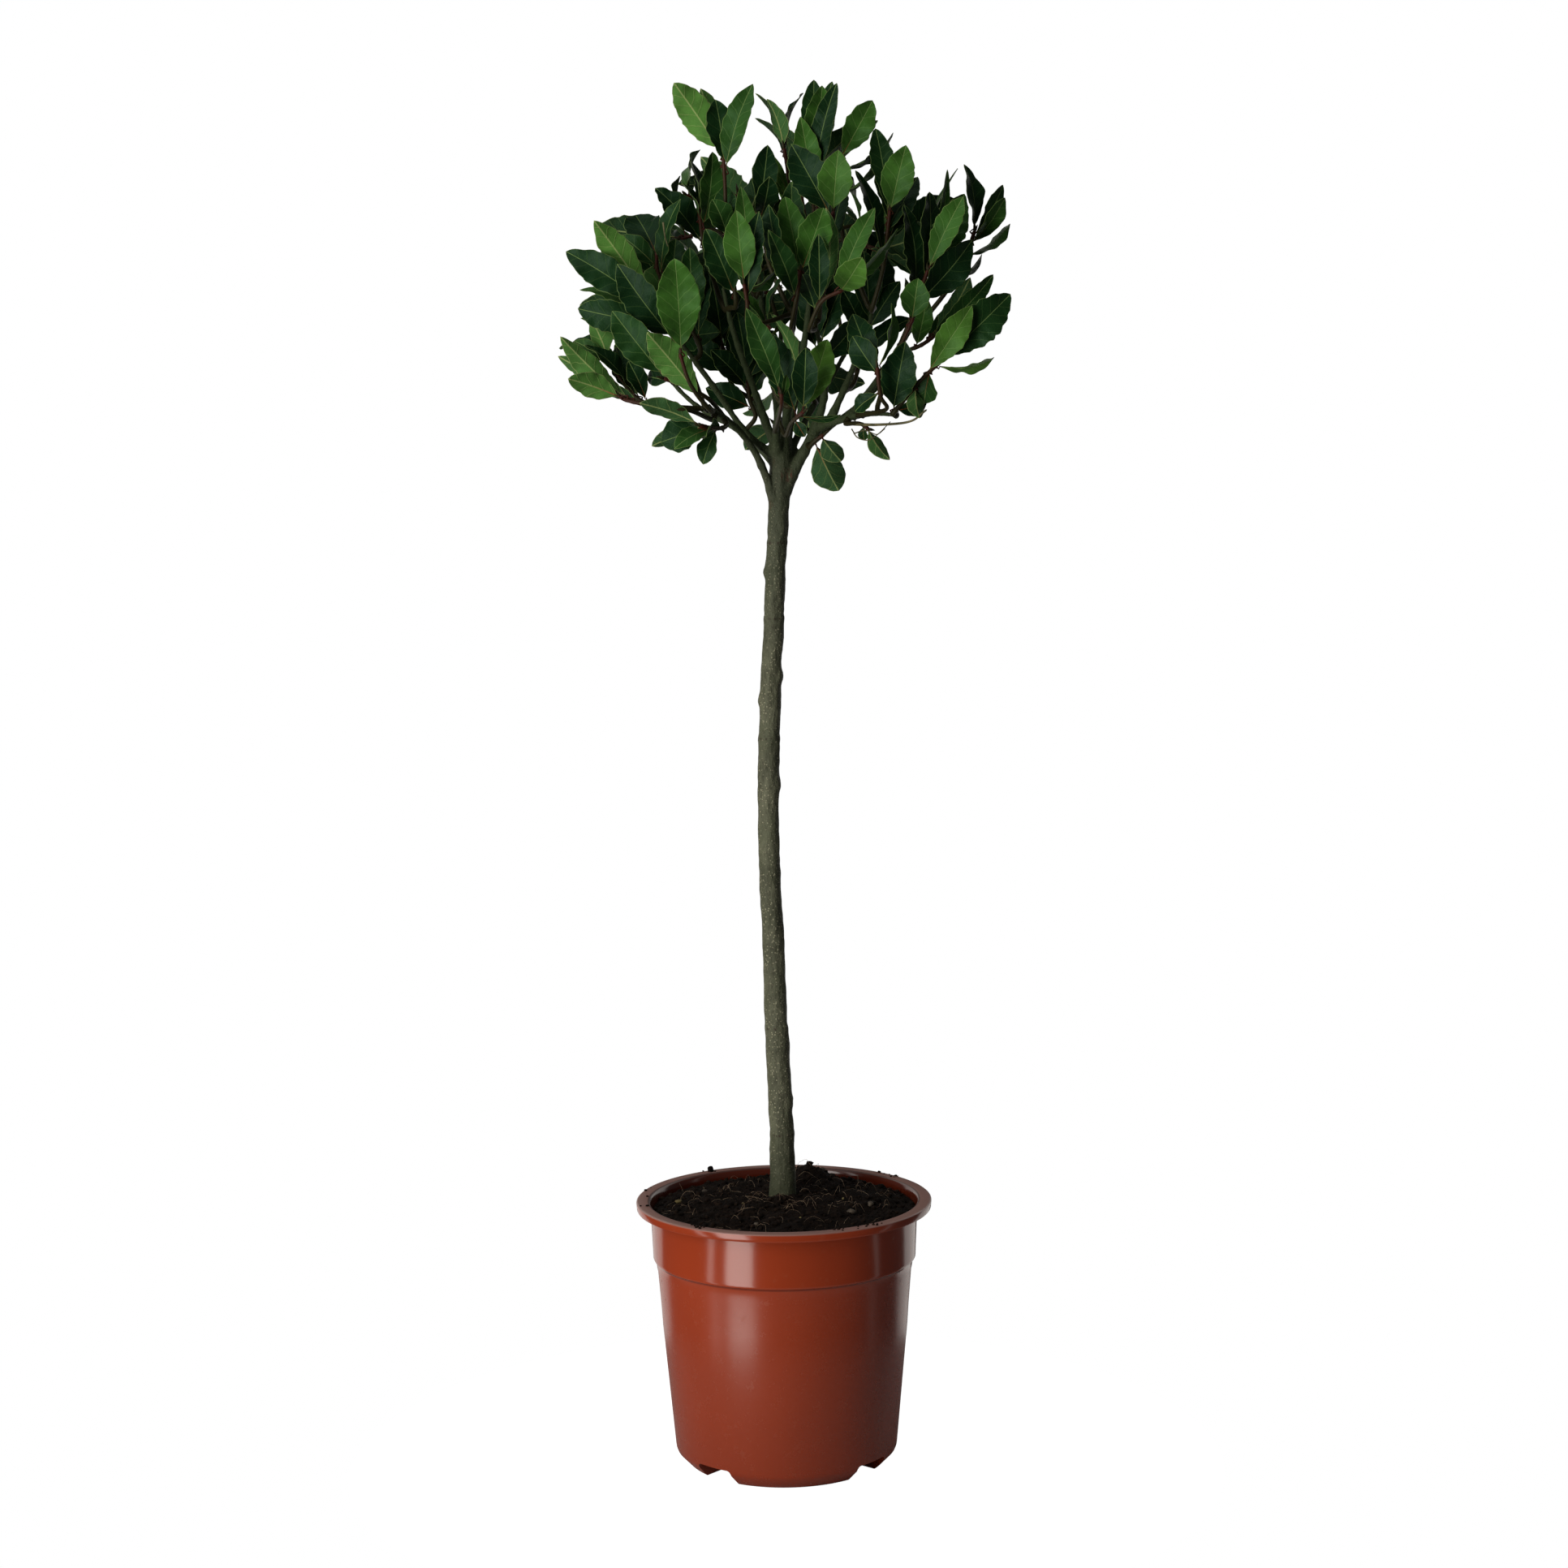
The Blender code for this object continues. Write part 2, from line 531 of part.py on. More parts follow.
def pot_inside():
    """The hollow's profile, from above the mouth down to the floor of the hollow feet."""
    return (
        (0.0, POT_HEIGHT + 5.0),
        (102.0, POT_HEIGHT + 5.0),
        (102.0, POT_HEIGHT),
        (99.6, POT_HEIGHT - 1.2),
        (98.2, POT_HEIGHT - 5.5),
        (96.2, POT_BAND_FOOT + 1.0),
        (92.9, POT_BAND_FOOT - 7.0),
        (81.2, 10.0),
        (POT_BASE_R - 0.8, PAD_HEIGHT + POT_WALL),
        (0.0, PAD_HEIGHT + POT_WALL),
    )


def raised_disc(height, radius):
    """The profile of the step up to the middle of the floor."""
    return (0.0, height), (radius, height), (radius + 1.0, -BELOW), (0.0, -BELOW)


def build_pot(collection, cutters):
    """A thin turned pot on four hollow feet, with a raised floor, drain holes and small pads below."""
    pot = add_turned("pot", pot_outside(), collection)
    pot.data.materials.append(make_material("pot_plastic", (0.33, 0.055, 0.024), 0.35))
    below = make_collection("pot_below")
    above = make_collection("pot_above")
    hollow = make_collection("pot_hollow")
    pads = make_collection("pot_pads")
    drains = make_collection("pot_drains")
    spacing = 360.0 / NOTCH_COUNT
    reach = 2 * POT_BASE_R
    width = 2 * POT_BASE_R * math.sin(math.radians(NOTCH_WIDTH / 2)) + 3.0
    for index in range(NOTCH_COUNT):
        bearing = NOTCH_FIRST + spacing * index
        low = (reach, width, 2 * POT_FLOOR)
        add_block(f"notch_{index}", low, (reach / 2, 0.0, 0.0), bearing, below)
        high = (reach, width + 2 * POT_WALL, 2 * (POT_FLOOR + POT_WALL))
        add_block(f"notch_roof_{index}", high, (reach / 2, 0.0, 0.0), bearing, above)
        for side in (-PAD_SPREAD, PAD_SPREAD):
            name = f"pad_{index}_{side:.0f}"
            centre = (POT_BASE_R - PAD_INSET, 0.0, PAD_HEIGHT)
            add_block(name, (*PAD_SIZE, 2 * PAD_HEIGHT), centre, bearing + spacing / 2 + side, pads)
    add_turned("floor_below", raised_disc(POT_FLOOR, POT_FLOOR_R), below)
    add_turned("floor_above", raised_disc(POT_FLOOR + POT_WALL, POT_FLOOR_R + POT_WALL), above)
    for index in range(DRAIN_COUNT):
        add_drain(f"drain_{index}", NOTCH_FIRST + 22.5 + index * 360.0 / DRAIN_COUNT, drains)
    cavity = add_turned("cavity", pot_inside(), hollow)
    cut(cavity, "DIFFERENCE", above)
    cut(pot, "DIFFERENCE", below)
    cut(pot, "DIFFERENCE", hollow)
    cut(pot, "UNION", pads)
    cut(pot, "DIFFERENCE", drains)
    for group in (below, above, hollow, pads, drains):
        hide_cutters(group)
        cutters.children.link(group)
        bpy.context.scene.collection.children.unlink(group)


# Soil


def soil_height(x, y):
    """How high the soil stands at a place: a mound, the clump behind the trunk and an uneven crust."""
    r = math.hypot(x, y)
    mound = SOIL_EDGE + SOIL_MOUND * max(0.0, 1.0 - (r / 98.0) ** 2)
    clump = CLUMP_HEIGHT * math.exp(-((x - CLUMP_AT[0]) ** 2 + (y - CLUMP_AT[1]) ** 2) / (2 * CLUMP_R**2))
    crust = 1.3 * math.sin(x / 9.0 + 1.0) * math.cos(y / 11.0) + 0.9 * math.sin(x / 5.1 - y / 6.3)
    rim = min(1.0, max(0.0, (98.0 - r) / 12.0))
    return mound + clump + crust * rim


def build_soil(collection):
    """The root ball: a bumpy top, a plain hole for the trunk, and sides that stay clear of the pot."""
    def level_ring(radius, height):
        ring = []
        for index in range(SOIL_SIDES):
            angle = 2 * math.pi * index / SOIL_SIDES
            x, y = radius * math.cos(angle), radius * math.sin(angle)
            ring.append(Vector((x, y, soil_height(x, y) if height is None else height)))
        return ring

    side = GAP + 0.9
    rings = [
        level_ring(2.0, SOIL_HOLE_FLOOR),
        level_ring(SOIL_HOLE_R, SOIL_HOLE_FLOOR + 0.5),
        level_ring(SOIL_HOLE_R, None),
        level_ring(20.0, None),
        level_ring(36.0, None),
        level_ring(54.0, None),
        level_ring(72.0, None),
        level_ring(88.0, None),
        level_ring(98.0 - side, None),
        level_ring(96.2 - side, POT_BAND_FOOT + 1.0),
        level_ring(92.9 - side, POT_BAND_FOOT - 7.0),
        level_ring(81.6 - side, SOIL_FLOOR),
    ]
    add_object("soil", *loft(rings), make_material("potting_soil", (0.028, 0.018, 0.012), 0.95), collection)


# Trunk and limbs


def trunk_rings():
    """Rings up the trunk, with its knots standing out of them."""
    rings = []
    for height, bend, radius in TRUNK_LINE:
        ring = []
        for index in range(TRUNK_SIDES):
            angle = 2 * math.pi * index / TRUNK_SIDES
            out = radius
            for knot_height, bearing, proud in KNOTS:
                near = math.exp(-(((height - knot_height) / KNOT_SPREAD) ** 2))
                facing = max(0.0, math.cos(angle - math.radians(bearing))) ** 4
                out += proud * near * facing
            ring.append(Vector((bend + out * math.cos(angle), out * math.sin(angle), height)))
        rings.append(ring)
    return rings


def limb_paths():
    return [[Vector(point) for point in points] for _, _, points in LIMBS]


def build_trunk(collection):
    limbs = [
        loft(tube(path, root_r, end_r, LIMB_SIDES))
        for path, (root_r, end_r, _) in zip(limb_paths(), LIMBS)
    ]
    bark = make_material("bark", (0.13, 0.125, 0.075), 0.75)
    return unite("trunk", loft(trunk_rings()), limbs, bark, collection)


# Leaves


class Leaf:
    """A leaf from its foot on the twig to its tip, with the side that its upper face looks to."""

    def __init__(self, share, tip, facing, width, turn, give, fine):
        self.share = share
        self.tip = tip
        self.facing = facing
        self.width = width
        self.turn = turn
        self.give = give
        self.fine = fine

    def stand_on(self, twig):
        """Sets the foot on the centre line of the twig, which runs on along stem."""
        length = sum((b - a).length for a, b in zip(twig, twig[1:]))
        share = min(self.share, 1.0 - FOOT_SINK / length)
        self.foot = along_path(twig, share)
        before = along_path(twig, max(0.0, share - 0.04))
        after = along_path(twig, min(1.0, share + 0.04))
        self.stem = (after - before).normalized()

    def moved(self, shift, turn):
        tip = self.tip + self.give * shift
        length = (self.tip - self.foot).length
        tip = self.foot + (tip - self.foot) * min(1.0, length * 1.12 / (tip - self.foot).length)
        leaf = Leaf(self.share, tip, self.facing, self.width, self.turn + turn, self.give, self.fine)
        leaf.foot = self.foot
        leaf.stem = self.stem
        return leaf

    def frame(self):
        """The leaf's own directions: along it, across it and out of its upper face."""
        along = (self.tip - self.foot).normalized()
        facing = self.facing - along * self.facing.dot(along)
        if facing.length < 0.05:
            facing = along.orthogonal()
        up = Matrix.Rotation(math.radians(self.turn), 3, along) @ facing.normalized()
        return along, along.cross(up), up

    def stalk_rings(self, spare):
        """Three-sided rings of the stalk: it leaves the twig squarely and bends into the blade."""
        along, across, up = self.frame()
        out = along - self.stem * along.dot(self.stem)
        centres = [(self.foot, 0.0)]
        if 0.05 < out.length < math.sin(math.radians(KNEE_ANGLE)):
            out.normalize()
            centres = [(self.foot, 1.0), (self.foot + out * KNEE_OUT + along * 0.6, 0.5)]
        rings = []
        for centre, share in centres:
            bend = Quaternion().slerp(along.rotation_difference(out), share) if share else Quaternion()
            side = bend @ across
            top = bend @ up
            half = PETIOLE_R + spare
            under = centre - top * (RIB_HALF + 0.5 * spare)
            rings.append([under - side * half, centre + top * half, under + side * half])
        return rings

    def rings(self, spare=0.0):
        """Rings of left edge, rib top, right edge and rib underside, then the tip."""
        along, across, up = self.frame()
        length = (self.tip - self.foot).length
        arch = LEAF_ARCH * length
        rings = []
        for index, share in enumerate(FINE_STATIONS if self.fine else PLAIN_STATIONS):
            centre = self.foot + along * (share * length) + up * (arch * math.sin(math.pi * share))
            blade = (share - PETIOLE_SHARE) / (1 - PETIOLE_SHARE)
            half = 0.5 * self.width * math.sin(math.pi * blade**0.9) ** 0.9 + spare
            wave = LEAF_WAVE * self.width * (-1 if index % 2 else 1)
            fold = LEAF_FOLD * (half - PETIOLE_R)
            rib = RIB_HALF + 0.5 * spare
            rings.append([
                centre - across * half + up * (fold + wave),
                centre + up * rib,
                centre + across * half + up * (fold - wave),
                centre - up * rib,
            ])
        rings.append([self.tip + along * (spare * 0.5)])
        return rings


def tree_of(skin):
    return BVHTree.FromPolygons(*skin)


class Guard:
    """Keeps what is placed, to tell whether something new would cross it."""

    def __init__(self):
        self.placed = []

    def add(self, owner, whole, blade=None):
        points = [Vector(point) for point in whole[0]]
        low = Vector([min(point[axis] for point in points) for axis in range(3)])
        high = Vector([max(point[axis] for point in points) for axis in range(3)])
        self.placed.append((owner, low, high, tree_of(whole), tree_of(blade) if blade else None))

    def clear(self, owner, whole, blade=None):
        low = Vector([min(point[axis] for point in whole[0]) for axis in range(3)])
        high = Vector([max(point[axis] for point in whole[0]) for axis in range(3)])
        trees = (tree_of(whole), tree_of(blade) if blade else None)
        for other, its_low, its_high, its_whole, its_blade in self.placed:
            if any(low[axis] > its_high[axis] or high[axis] < its_low[axis] for axis in range(3)):
                continue
            if other != owner and trees[0].overlap(its_whole):
                return False
            if other == owner and trees[1] and its_blade and trees[1].overlap(its_blade):
                return False
        return True


def seen(across, depth, up):
    """The point at this depth that looks from EYE as if it lay over the pot's axis."""
    share = (depth - EYE.y) / -EYE.y
    return Vector((EYE.x + (across - EYE.x) * share, depth, EYE.z + (up - EYE.z) * share))


def looks_at(point):
    """Where a point is seen from EYE, across and up over the pot's axis."""
    share = (point.y - EYE.y) / -EYE.y
    return EYE.x + (point.x - EYE.x) / share, EYE.z + (point.z - EYE.z) / share


def in_open_view(points):
    for point in points:
        across, up = looks_at(point)
        for left, right, low, high in OPEN_VIEWS:
            if left < across < right and low < up < high:
                return True
    return False


def twig_roots(target, limbs):
    """Places on the limbs where a twig to a point may start, just off the bark, the nearest first."""
    roots = []
    for path, (root_r, end_r, _) in zip(limbs, LIMBS):
        for step in range(ROOT_STEPS):
            share = 0.3 + 0.7 * step / (ROOT_STEPS - 1)
            point = along_path(path, share)
            along = (along_path(path, min(1.0, share + 0.05)) - along_path(path, share - 0.05)).normalized()
            toward = target - point
            out = toward - along * toward.dot(along)
            if out.length < 0.5:
                out = along.orthogonal()
            out.normalize()
            start = point + out * (root_r + (end_r - root_r) * share + GAP)
            for lean in (0.0, 0.9):
                roots.append((toward.length, [start, start + (out + along * lean).normalized() * 3.0]))
    roots.sort(key=lambda root: root[0])
    return [points for _, points in roots[:ROOT_TRIES]]


def front_plans():
    """The twig and leaves of each spray on the best side."""
    plans = []
    for name, path, rows in FRONT_SPRAYS:
        points = [seen(*point) for point in path]
        length = sum((b - a).length for a, b in zip(points, points[1:]))
        leaves = []
        last = 2.0
        for share, across, up, lean, width, turn in sorted(rows, key=lambda row: -row[0]):
            share = max(0.0, min(share, last - LEAF_SPACING / length))
            last = share
            foot = along_path(points, share)
            tip = seen(across, foot.y - lean, up)
            fine = (tip - foot).length > FINE_LENGTH
            leaves.append(Leaf(share, tip, (EYE - foot).normalized(), width, turn, Vector((0, 1, 0)), fine))
        plans.append((name, points, leaves))
    return plans


def rule_plans(limbs):
    """The twig and leaves of each spray that follows the rule, round the back and the sides."""
    draw = random.Random(RULE_SEED)
    golden = math.pi * (3 - math.sqrt(5))
    plans = []
    for index in range(RULE_BEARINGS):
        rise = 1 - 2 * (index + 0.5) / RULE_BEARINGS
        level = math.sqrt(1 - rise * rise)
        heading = Vector((level * math.cos(golden * index), level * math.sin(golden * index), rise))
        if heading.y < RULE_FRONT or rise < RULE_LOWEST or len(plans) == RULE_SPRAYS:
            continue
        reach = TWIG_REACH * draw.uniform(*REACH_SPREAD)
        end = HEAD_CENTRE + Vector([heading[axis] * HEAD_R[axis] for axis in range(3)]) * reach
        end.y = max(end.y, RULE_DEPTH)
        start = twig_roots(end, limbs)[0][1]
        sway = Vector([draw.uniform(-TWIG_SWAY, TWIG_SWAY) for _ in range(3)])
        twig = [start.lerp(end, TWIG_MIDDLE) + sway + Vector((0, 0, TWIG_LIFT)), end]
        out = (end - start).normalized() + heading * TWIG_REACH + Vector((0, 0, UPWARD))
        out.normalize()
        side = out.orthogonal().normalized()
        leaves = []
        for number in range(RULE_LEAVES):
            share = 1.0 - LEAFY_SHARE * number / RULE_LEAVES
            opens = math.radians(draw.uniform(*LEAF_OPENS) + LEAF_OPENS_LOW * (1 - share))
            bearing = golden * number + draw.uniform(-LEAF_BEARING_SWAY, LEAF_BEARING_SWAY)
            turned = Matrix.Rotation(bearing, 3, out) @ side
            along = out * math.cos(opens) + turned * math.sin(opens) + Vector((0, 0, UPWARD / 2))
            foot = along_path(twig, share)
            length = draw.uniform(*LEAF_LENGTHS) * (TIP_LEAF_SHARE if number == 0 else 1.0)
            tip = foot + along.normalized() * length
            tip.z = min(tip.z, HEAD_TOP - draw.uniform(0, TOP_SPREAD))
            width, turn = draw.uniform(*LEAF_WIDTHS), draw.uniform(*LEAF_TURNS)
            leaves.append(Leaf(share, tip, out, width, turn, out, False))
        plans.append((f"back_{len(plans) + 1:02d}", twig, leaves))
    return plans


def twig_skin(twig):
    return loft(tube(twig, TWIG_ROOT_R, TWIG_END_R, TWIG_SIDES, past=0.0))


def sharpest_bend(path):
    steps = [after - before for before, after in zip(path, path[1:])]
    return max(math.degrees(before.angle(after)) for before, after in zip(steps, steps[1:]))


def clear_twig(guard, name, points, limbs):
    """The twig from a limb through its points, with a root and a bend that cross nothing placed."""
    root_r, end_r = TWIG_ROOT_R + GAP, TWIG_END_R + GAP
    for reach in BENDS:
        for root in twig_roots(points[0], limbs):
            for quarter in range(4 if reach else 1):
                angle = quarter * math.pi / 2
                aside = Vector((math.cos(angle), math.sin(angle), 0.3)) * reach
                twig = root + [point + aside for point in points[:-1]] + points[-1:]
                if sharpest_bend(twig[1:]) > TWIG_BEND:
                    continue
                if guard.clear(name, loft(tube(twig, root_r, end_r, TWIG_SIDES))):
                    return twig
    return None


def place_leaf(guard, name, leaf):
    """The leaf, leaned or turned until it is clear of all that is placed, or nothing."""
    for shift in SHIFTS:
        for turn in TURNS:
            tried = leaf.moved(shift, turn)
            rings = tried.rings(SPARE)
            if leaf.give.z and in_open_view([point for ring in rings for point in ring]):
                continue
            whole = loft(tried.stalk_rings(SPARE) + rings)
            blade = loft(rings)
            if guard.clear(name, whole, blade):
                guard.add(name, whole, blade)
                return tried
    return None


def plan_crown():
    """Every spray's twig and leaves, each clear of the trunk and of the others."""
    limbs = limb_paths()
    guard = Guard()
    guard.add("trunk", loft(trunk_rings()))
    for path, (root_r, end_r, _) in zip(limbs, LIMBS):
        guard.add("trunk", loft(tube(path, root_r, end_r, LIMB_SIDES)))
    sprays = []
    for plans in (front_plans(), rule_plans(limbs)):
        standing = []
        for name, points, leaves in plans:
            twig = clear_twig(guard, name, points, limbs)
            if twig:
                guard.add(name, twig_skin(twig))
                standing.append((name, twig, leaves))
        for name, twig, leaves in standing:
            for leaf in leaves:
                leaf.stand_on(twig[2:])
            placed = [place_leaf(guard, name, leaf) for leaf in leaves]
            sprays.append((name, twig, [leaf for leaf in placed if leaf]))
    return sprays


def build_sprays(collection):
    for name, twig, leaves in plan_crown():
        blades = [loft(leaf.stalk_rings(0.0) + leaf.rings()) for leaf in leaves]
        green = make_material(name + "_leaf", (0.07, 0.13, 0.03), 0.45)
        unite("spray_" + name, twig_skin(twig), blades, green, collection)


def main():
    clear_scene()
    plant = make_collection("bay_laurel")
    cutters = make_collection("cutters")
    build_trunk(plant)
    build_sprays(plant)
    build_soil(plant)
    build_pot(plant, cutters)


main()
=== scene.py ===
"""A bay laurel grown as a small standard tree, in a red-brown nursery pot, dressed for the render.

The leafy sprays stand where the frame's sprays stand: the same rule places every twig and leaf, and
here each leaf gets its wavy blade, midrib, veins and pale margin, and each twig its bark and buds.
Lengths in the tables are millimetres; meshes and settings are in metres.
"""

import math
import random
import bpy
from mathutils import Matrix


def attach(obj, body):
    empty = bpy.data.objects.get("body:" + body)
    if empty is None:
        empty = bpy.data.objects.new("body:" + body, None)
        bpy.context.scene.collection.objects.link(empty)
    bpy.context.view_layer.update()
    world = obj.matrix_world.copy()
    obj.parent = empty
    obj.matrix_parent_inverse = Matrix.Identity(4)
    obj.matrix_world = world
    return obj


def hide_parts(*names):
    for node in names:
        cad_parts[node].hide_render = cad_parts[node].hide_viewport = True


bl_info = {
    "name": "Bay laurel in a pot",
    "version": (1, 0, 0),
    "blender": (4, 5, 0),
    "location": "View3D > Sidebar > Laurel",
    "description": "Builds the dressed bay laurel, its pot and soil, and the studio around it",
    "category": "Object",
}

from dataclasses import dataclass, replace

import bmesh
import bpy
import numpy as np
from mathutils import Matrix, Quaternion, Vector, noise
from mathutils.bvhtree import BVHTree

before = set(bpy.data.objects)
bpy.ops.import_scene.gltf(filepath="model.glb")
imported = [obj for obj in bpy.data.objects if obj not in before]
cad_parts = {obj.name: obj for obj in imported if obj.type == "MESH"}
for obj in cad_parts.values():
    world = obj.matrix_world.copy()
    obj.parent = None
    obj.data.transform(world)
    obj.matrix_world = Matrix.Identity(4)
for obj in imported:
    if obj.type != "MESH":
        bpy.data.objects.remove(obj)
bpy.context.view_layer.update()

MM = 0.001
# Left free between a twig and the limb that it grows from, so that the frame's solids don't touch
GAP = 0.3

# Pot, the same mould as the frame's, with its edges rounded
POT_HEIGHT = 197.3
POT_BAND_FOOT = 153.0
POT_BASE_R = 73.4
POT_WALL = 1.5
POT_FLOOR = 12.9
POT_FLOOR_R = 55.0
POT_FINE_STEPS = 144
PAD_HEIGHT = 0.8
PAD_SIZE = (11.0, 22.0)
PAD_INSET = 9.0
PAD_SPREAD = 18.0
PAD_ROUNDING = 0.4
NOTCH_COUNT = 4
NOTCH_FIRST = 49.5
NOTCH_WIDTH = 22.0
NOTCH_SPARE = 3.0
NOTCH_OUT = 20.0
NOTCH_ROUNDING = 3.0
ROOF_OUT = 18.5
ROOF_ROUNDING = 3.6
DRAIN_COUNT = 8
DRAIN_R = 5.0
DRAIN_RING_R = 36.0
DRAIN_TURN = 22.5
DRAIN_DEPTH = 12.0
SHARP_FROM = 32.0
POT_OUTSIDE = (
    (0.0, 197.3), (108.6, 197.3), (109.3, 197.15), (109.85, 196.7), (110.0, 196.1), (109.6, 191.9),
    (109.35, 191.35), (108.9, 191.2), (108.45, 191.3), (108.25, 191.7), (108.35, 194.7), (107.9, 195.3),
    (101.6, 195.0), (100.7, 194.4), (100.2, 193.2), (99.4, 190.2), (97.9, 156.4), (97.85, 155.0),
    (97.5, 154.2), (96.9, 153.8), (96.3, 153.3), (95.8, 152.0), (95.2, 147.4), (94.6, 144.6),
    (92.4, 118.0), (91.5, 104.0), (83.1, 13.6), (82.8, 11.2), (82.0, 9.2), (74.6, 1.6), (73.9, 1.1),
    (73.2, 0.85), (0.0, 0.8),
)
POT_INSIDE = (
    (0.0, 202.3), (102.4, 202.3), (102.4, 197.3), (101.6, 197.2), (100.6, 196.8), (99.8, 196.0),
    (99.3, 194.8), (98.2, 190.8), (96.3, 155.6), (95.8, 153.6), (94.6, 150.2), (93.2, 145.8), (92.9, 144.6),
    (81.2, 10.0), (72.6, 2.3), (0.0, 2.3),
)

# Soil: a low mound with a clump behind the trunk
SOIL_EDGE = 190.0
SOIL_MOUND = 10.0
SOIL_R = 98.0
SOIL_TOP_RADII = (10.5, 97.8)
SOIL_FLOOR = 15.0
# The root ball under the top: radius and height
ROOT_BALL = (
    (95.5, POT_BAND_FOOT), (91.5, POT_BAND_FOOT - 8.0), (80.2, SOIL_FLOOR), (2.0, SOIL_FLOOR),
)
SOIL_RINGS = 96
SOIL_FINE_SIDES = 420
CLUMP_AT = (19.0, 60.0)
CLUMP_HEIGHT = 11.0
CLUMP_R = 15.0
# Crumbs on the rim: bearing, how many, and how far to each side in degrees
RIM_CRUMBS = ((232, 9, 5), (305, 10, 7), (290, 4, 5), (123, 7, 3), (41, 8, 6), (170, 5, 25))
RIM_RADII = (102.6, 108.6)
# Loose bits: how far out they lie, how near the trunk, and the fibres' and crumbs' sizes
SCATTER_R = 96.5
TRUNK_ROOM = 12.0
FIBRE_RADII = (14, 93)
FIBRE_LIFT = 6.0
FIBRE_THICK = (0.06, 0.13)
CRUMB_LEAST, CRUMB_MORE = 0.6, 2.1
BIT_SEED = 23
GRAIN_SEED = 31
# Stones: across, depth, size, and how flat
STONES = (
    (49, -42, 3.4, 0.6), (64, -20, 3.0, 0.7), (-20, -70, 2.2, 0.6), (30, 66, 2.6, 0.7), (-60, 30, 2.1, 0.6),
)

# Straw-coloured grains on the peat, and the dark chunk that lies on the rim: across, depth, size, how flat
GRAINS = (
    (-79, 2, 2.4, 0.6), (-30, -25, 1.5, 0.6), (-48, 20, 1.3, 0.7), (44, -8, 1.2, 0.7), (12, -58, 1.1, 0.6),
)
RIM_CHUNK = (-57, 88, 3.0, 0.85)

# Fine trunk and limbs: steps, bark relief, how its knots differ from the frame's, ring scars with a
# ridge and a groove above it, and joints along the limbs
TRUNK_STEP = 2.5
BARK_VOXEL = 0.95
BARK_ROUGH = 0.24
KNOT_PROUD = 0.8
KNOT_TIGHT = 0.6
KNOT_EYE = 1.1
KNOT_EYE_TIGHT = 0.25
RIDGE_HEIGHT, RIDGE_WIDTH = 0.45, 1.6
GROOVE_DEPTH, GROOVE_WIDTH, GROOVE_ABOVE = 0.3, 1.3, 3.4
LIMB_SEED = 5
LIMB_JOINT = 0.16
LIMB_FLARE = 2.0
TRUNK_FINE_SIDES = 40
# Brown scars where limbs leave the trunk: across, depth, up and radius
LIMB_SCARS = ((-8, -7, 711, 6.5), (9, -7, 733, 6.0), (-4, -8, 742, 5.0))
LIMB_SLIM = 0.86
LIMB_STEP = 2.4
LIMB_JOINT_SPACING = 19.0
RING_SCARS = (684.0, 629.0, 541.0, 326.0, 246.0)

# Dead stalks caught in the head: radius, then points as seen from the front (across, depth, up)
DEAD_STALKS = (
    (1.2, ((52, -32, 770), (74, -62, 769), (98, -74, 771), (110, -78, 779))),
    (0.5, ((56, -50, 766), (60, -60, 760), (68, -64, 758), (76, -62, 763), (84, -58, 771))),
    (0.5, ((58, -46, 763), (66, -58, 765), (74, -66, 762), (80, -64, 766))),
    (0.7, ((-79, -40, 916), (-78, -41, 907), (-76, -40, 899))),
)

# Fine leaves: step along, places across from the midrib to the margins, and outline
LEAF_STEP = 1.7
LEAF_COLUMNS = (-1.0, -0.94, -0.75, -0.5, -0.26, -0.1, 0.0, 0.1, 0.26, 0.5, 0.75, 0.94, 1.0)
LEAF_THICKNESS = 0.42
LEAF_SLIM = 0.97
LEAF_FULLNESS = (0.62, 0.82)
LEAF_BELLY = (0.92, 1.16)
LEAF_BEND = (-0.15, 0.35)
LEAF_NARROWEST = 0.32
LEAF_POINT = 0.05
# Waves of the margin and relief of the blade
RUFFLE = (0.3, 1.1)
RUFFLE_LENGTH = (8.5, 14.0)
RUFFLE_FULL_WIDTH = 22.0
SCALLOP_LENGTH = (6.5, 10.5)
SCALLOP = (0.025, 0.065)
FOLD_MORE = 1.35
QUILT = 0.22
RIB_DEPTH = 0.55
VEIN_SPACING = 8.5
VEIN_SLANT = 1.3
VEIN_CURVE = 0.85
LEAF_SHEEN = "#b4d8c0"
# Stalks and twigs; a bud is a row of reaches along its aim and radii
STALK_R = 0.62
STALK_SIDES = 7
RED_STALKS = 0.45
TWIG_SINK = 2.4
TWIG_FINE_SIDES = 10
BUD = ((0.0, 0.9), (1.6, 1.15), (3.4, 0.75), (5.2, 0.12))
# Material slots of a spray, and the measures of what is no blade
UPPER, UNDER, SHOOT = 0, 1, 2
PLAIN_LOOK = (0.0, 0.0, 0.0)
OFF_BLADE = (0.0, 0.0, 9.0)

# Heights in metres over which the pot's and the bark's colours change
# The lip's top: painted lighter, partly wear and partly a painted sheen; it is also made rougher
WORN_AND_SHEEN_LIP = (0.1958, 0.1971)
# Painted shade: a dark line under the step at the foot of the band
SHADE_LINE_FOOT, SHADE_LINE_TOP = (0.1518, 0.153), (0.1538, 0.1546)
SATIN_STEP = (0.145, 0.153)
# Painted shade: the pot's inward-facing wall is darkened above these heights
PAINTED_SHADE_INSIDE = (0.15, 0.18)
DAMP_FOOT = (0.2, 0.26)
GREENER_TOP = (0.58, 0.72)
YOUNG_WOOD = (0.72, 0.775)

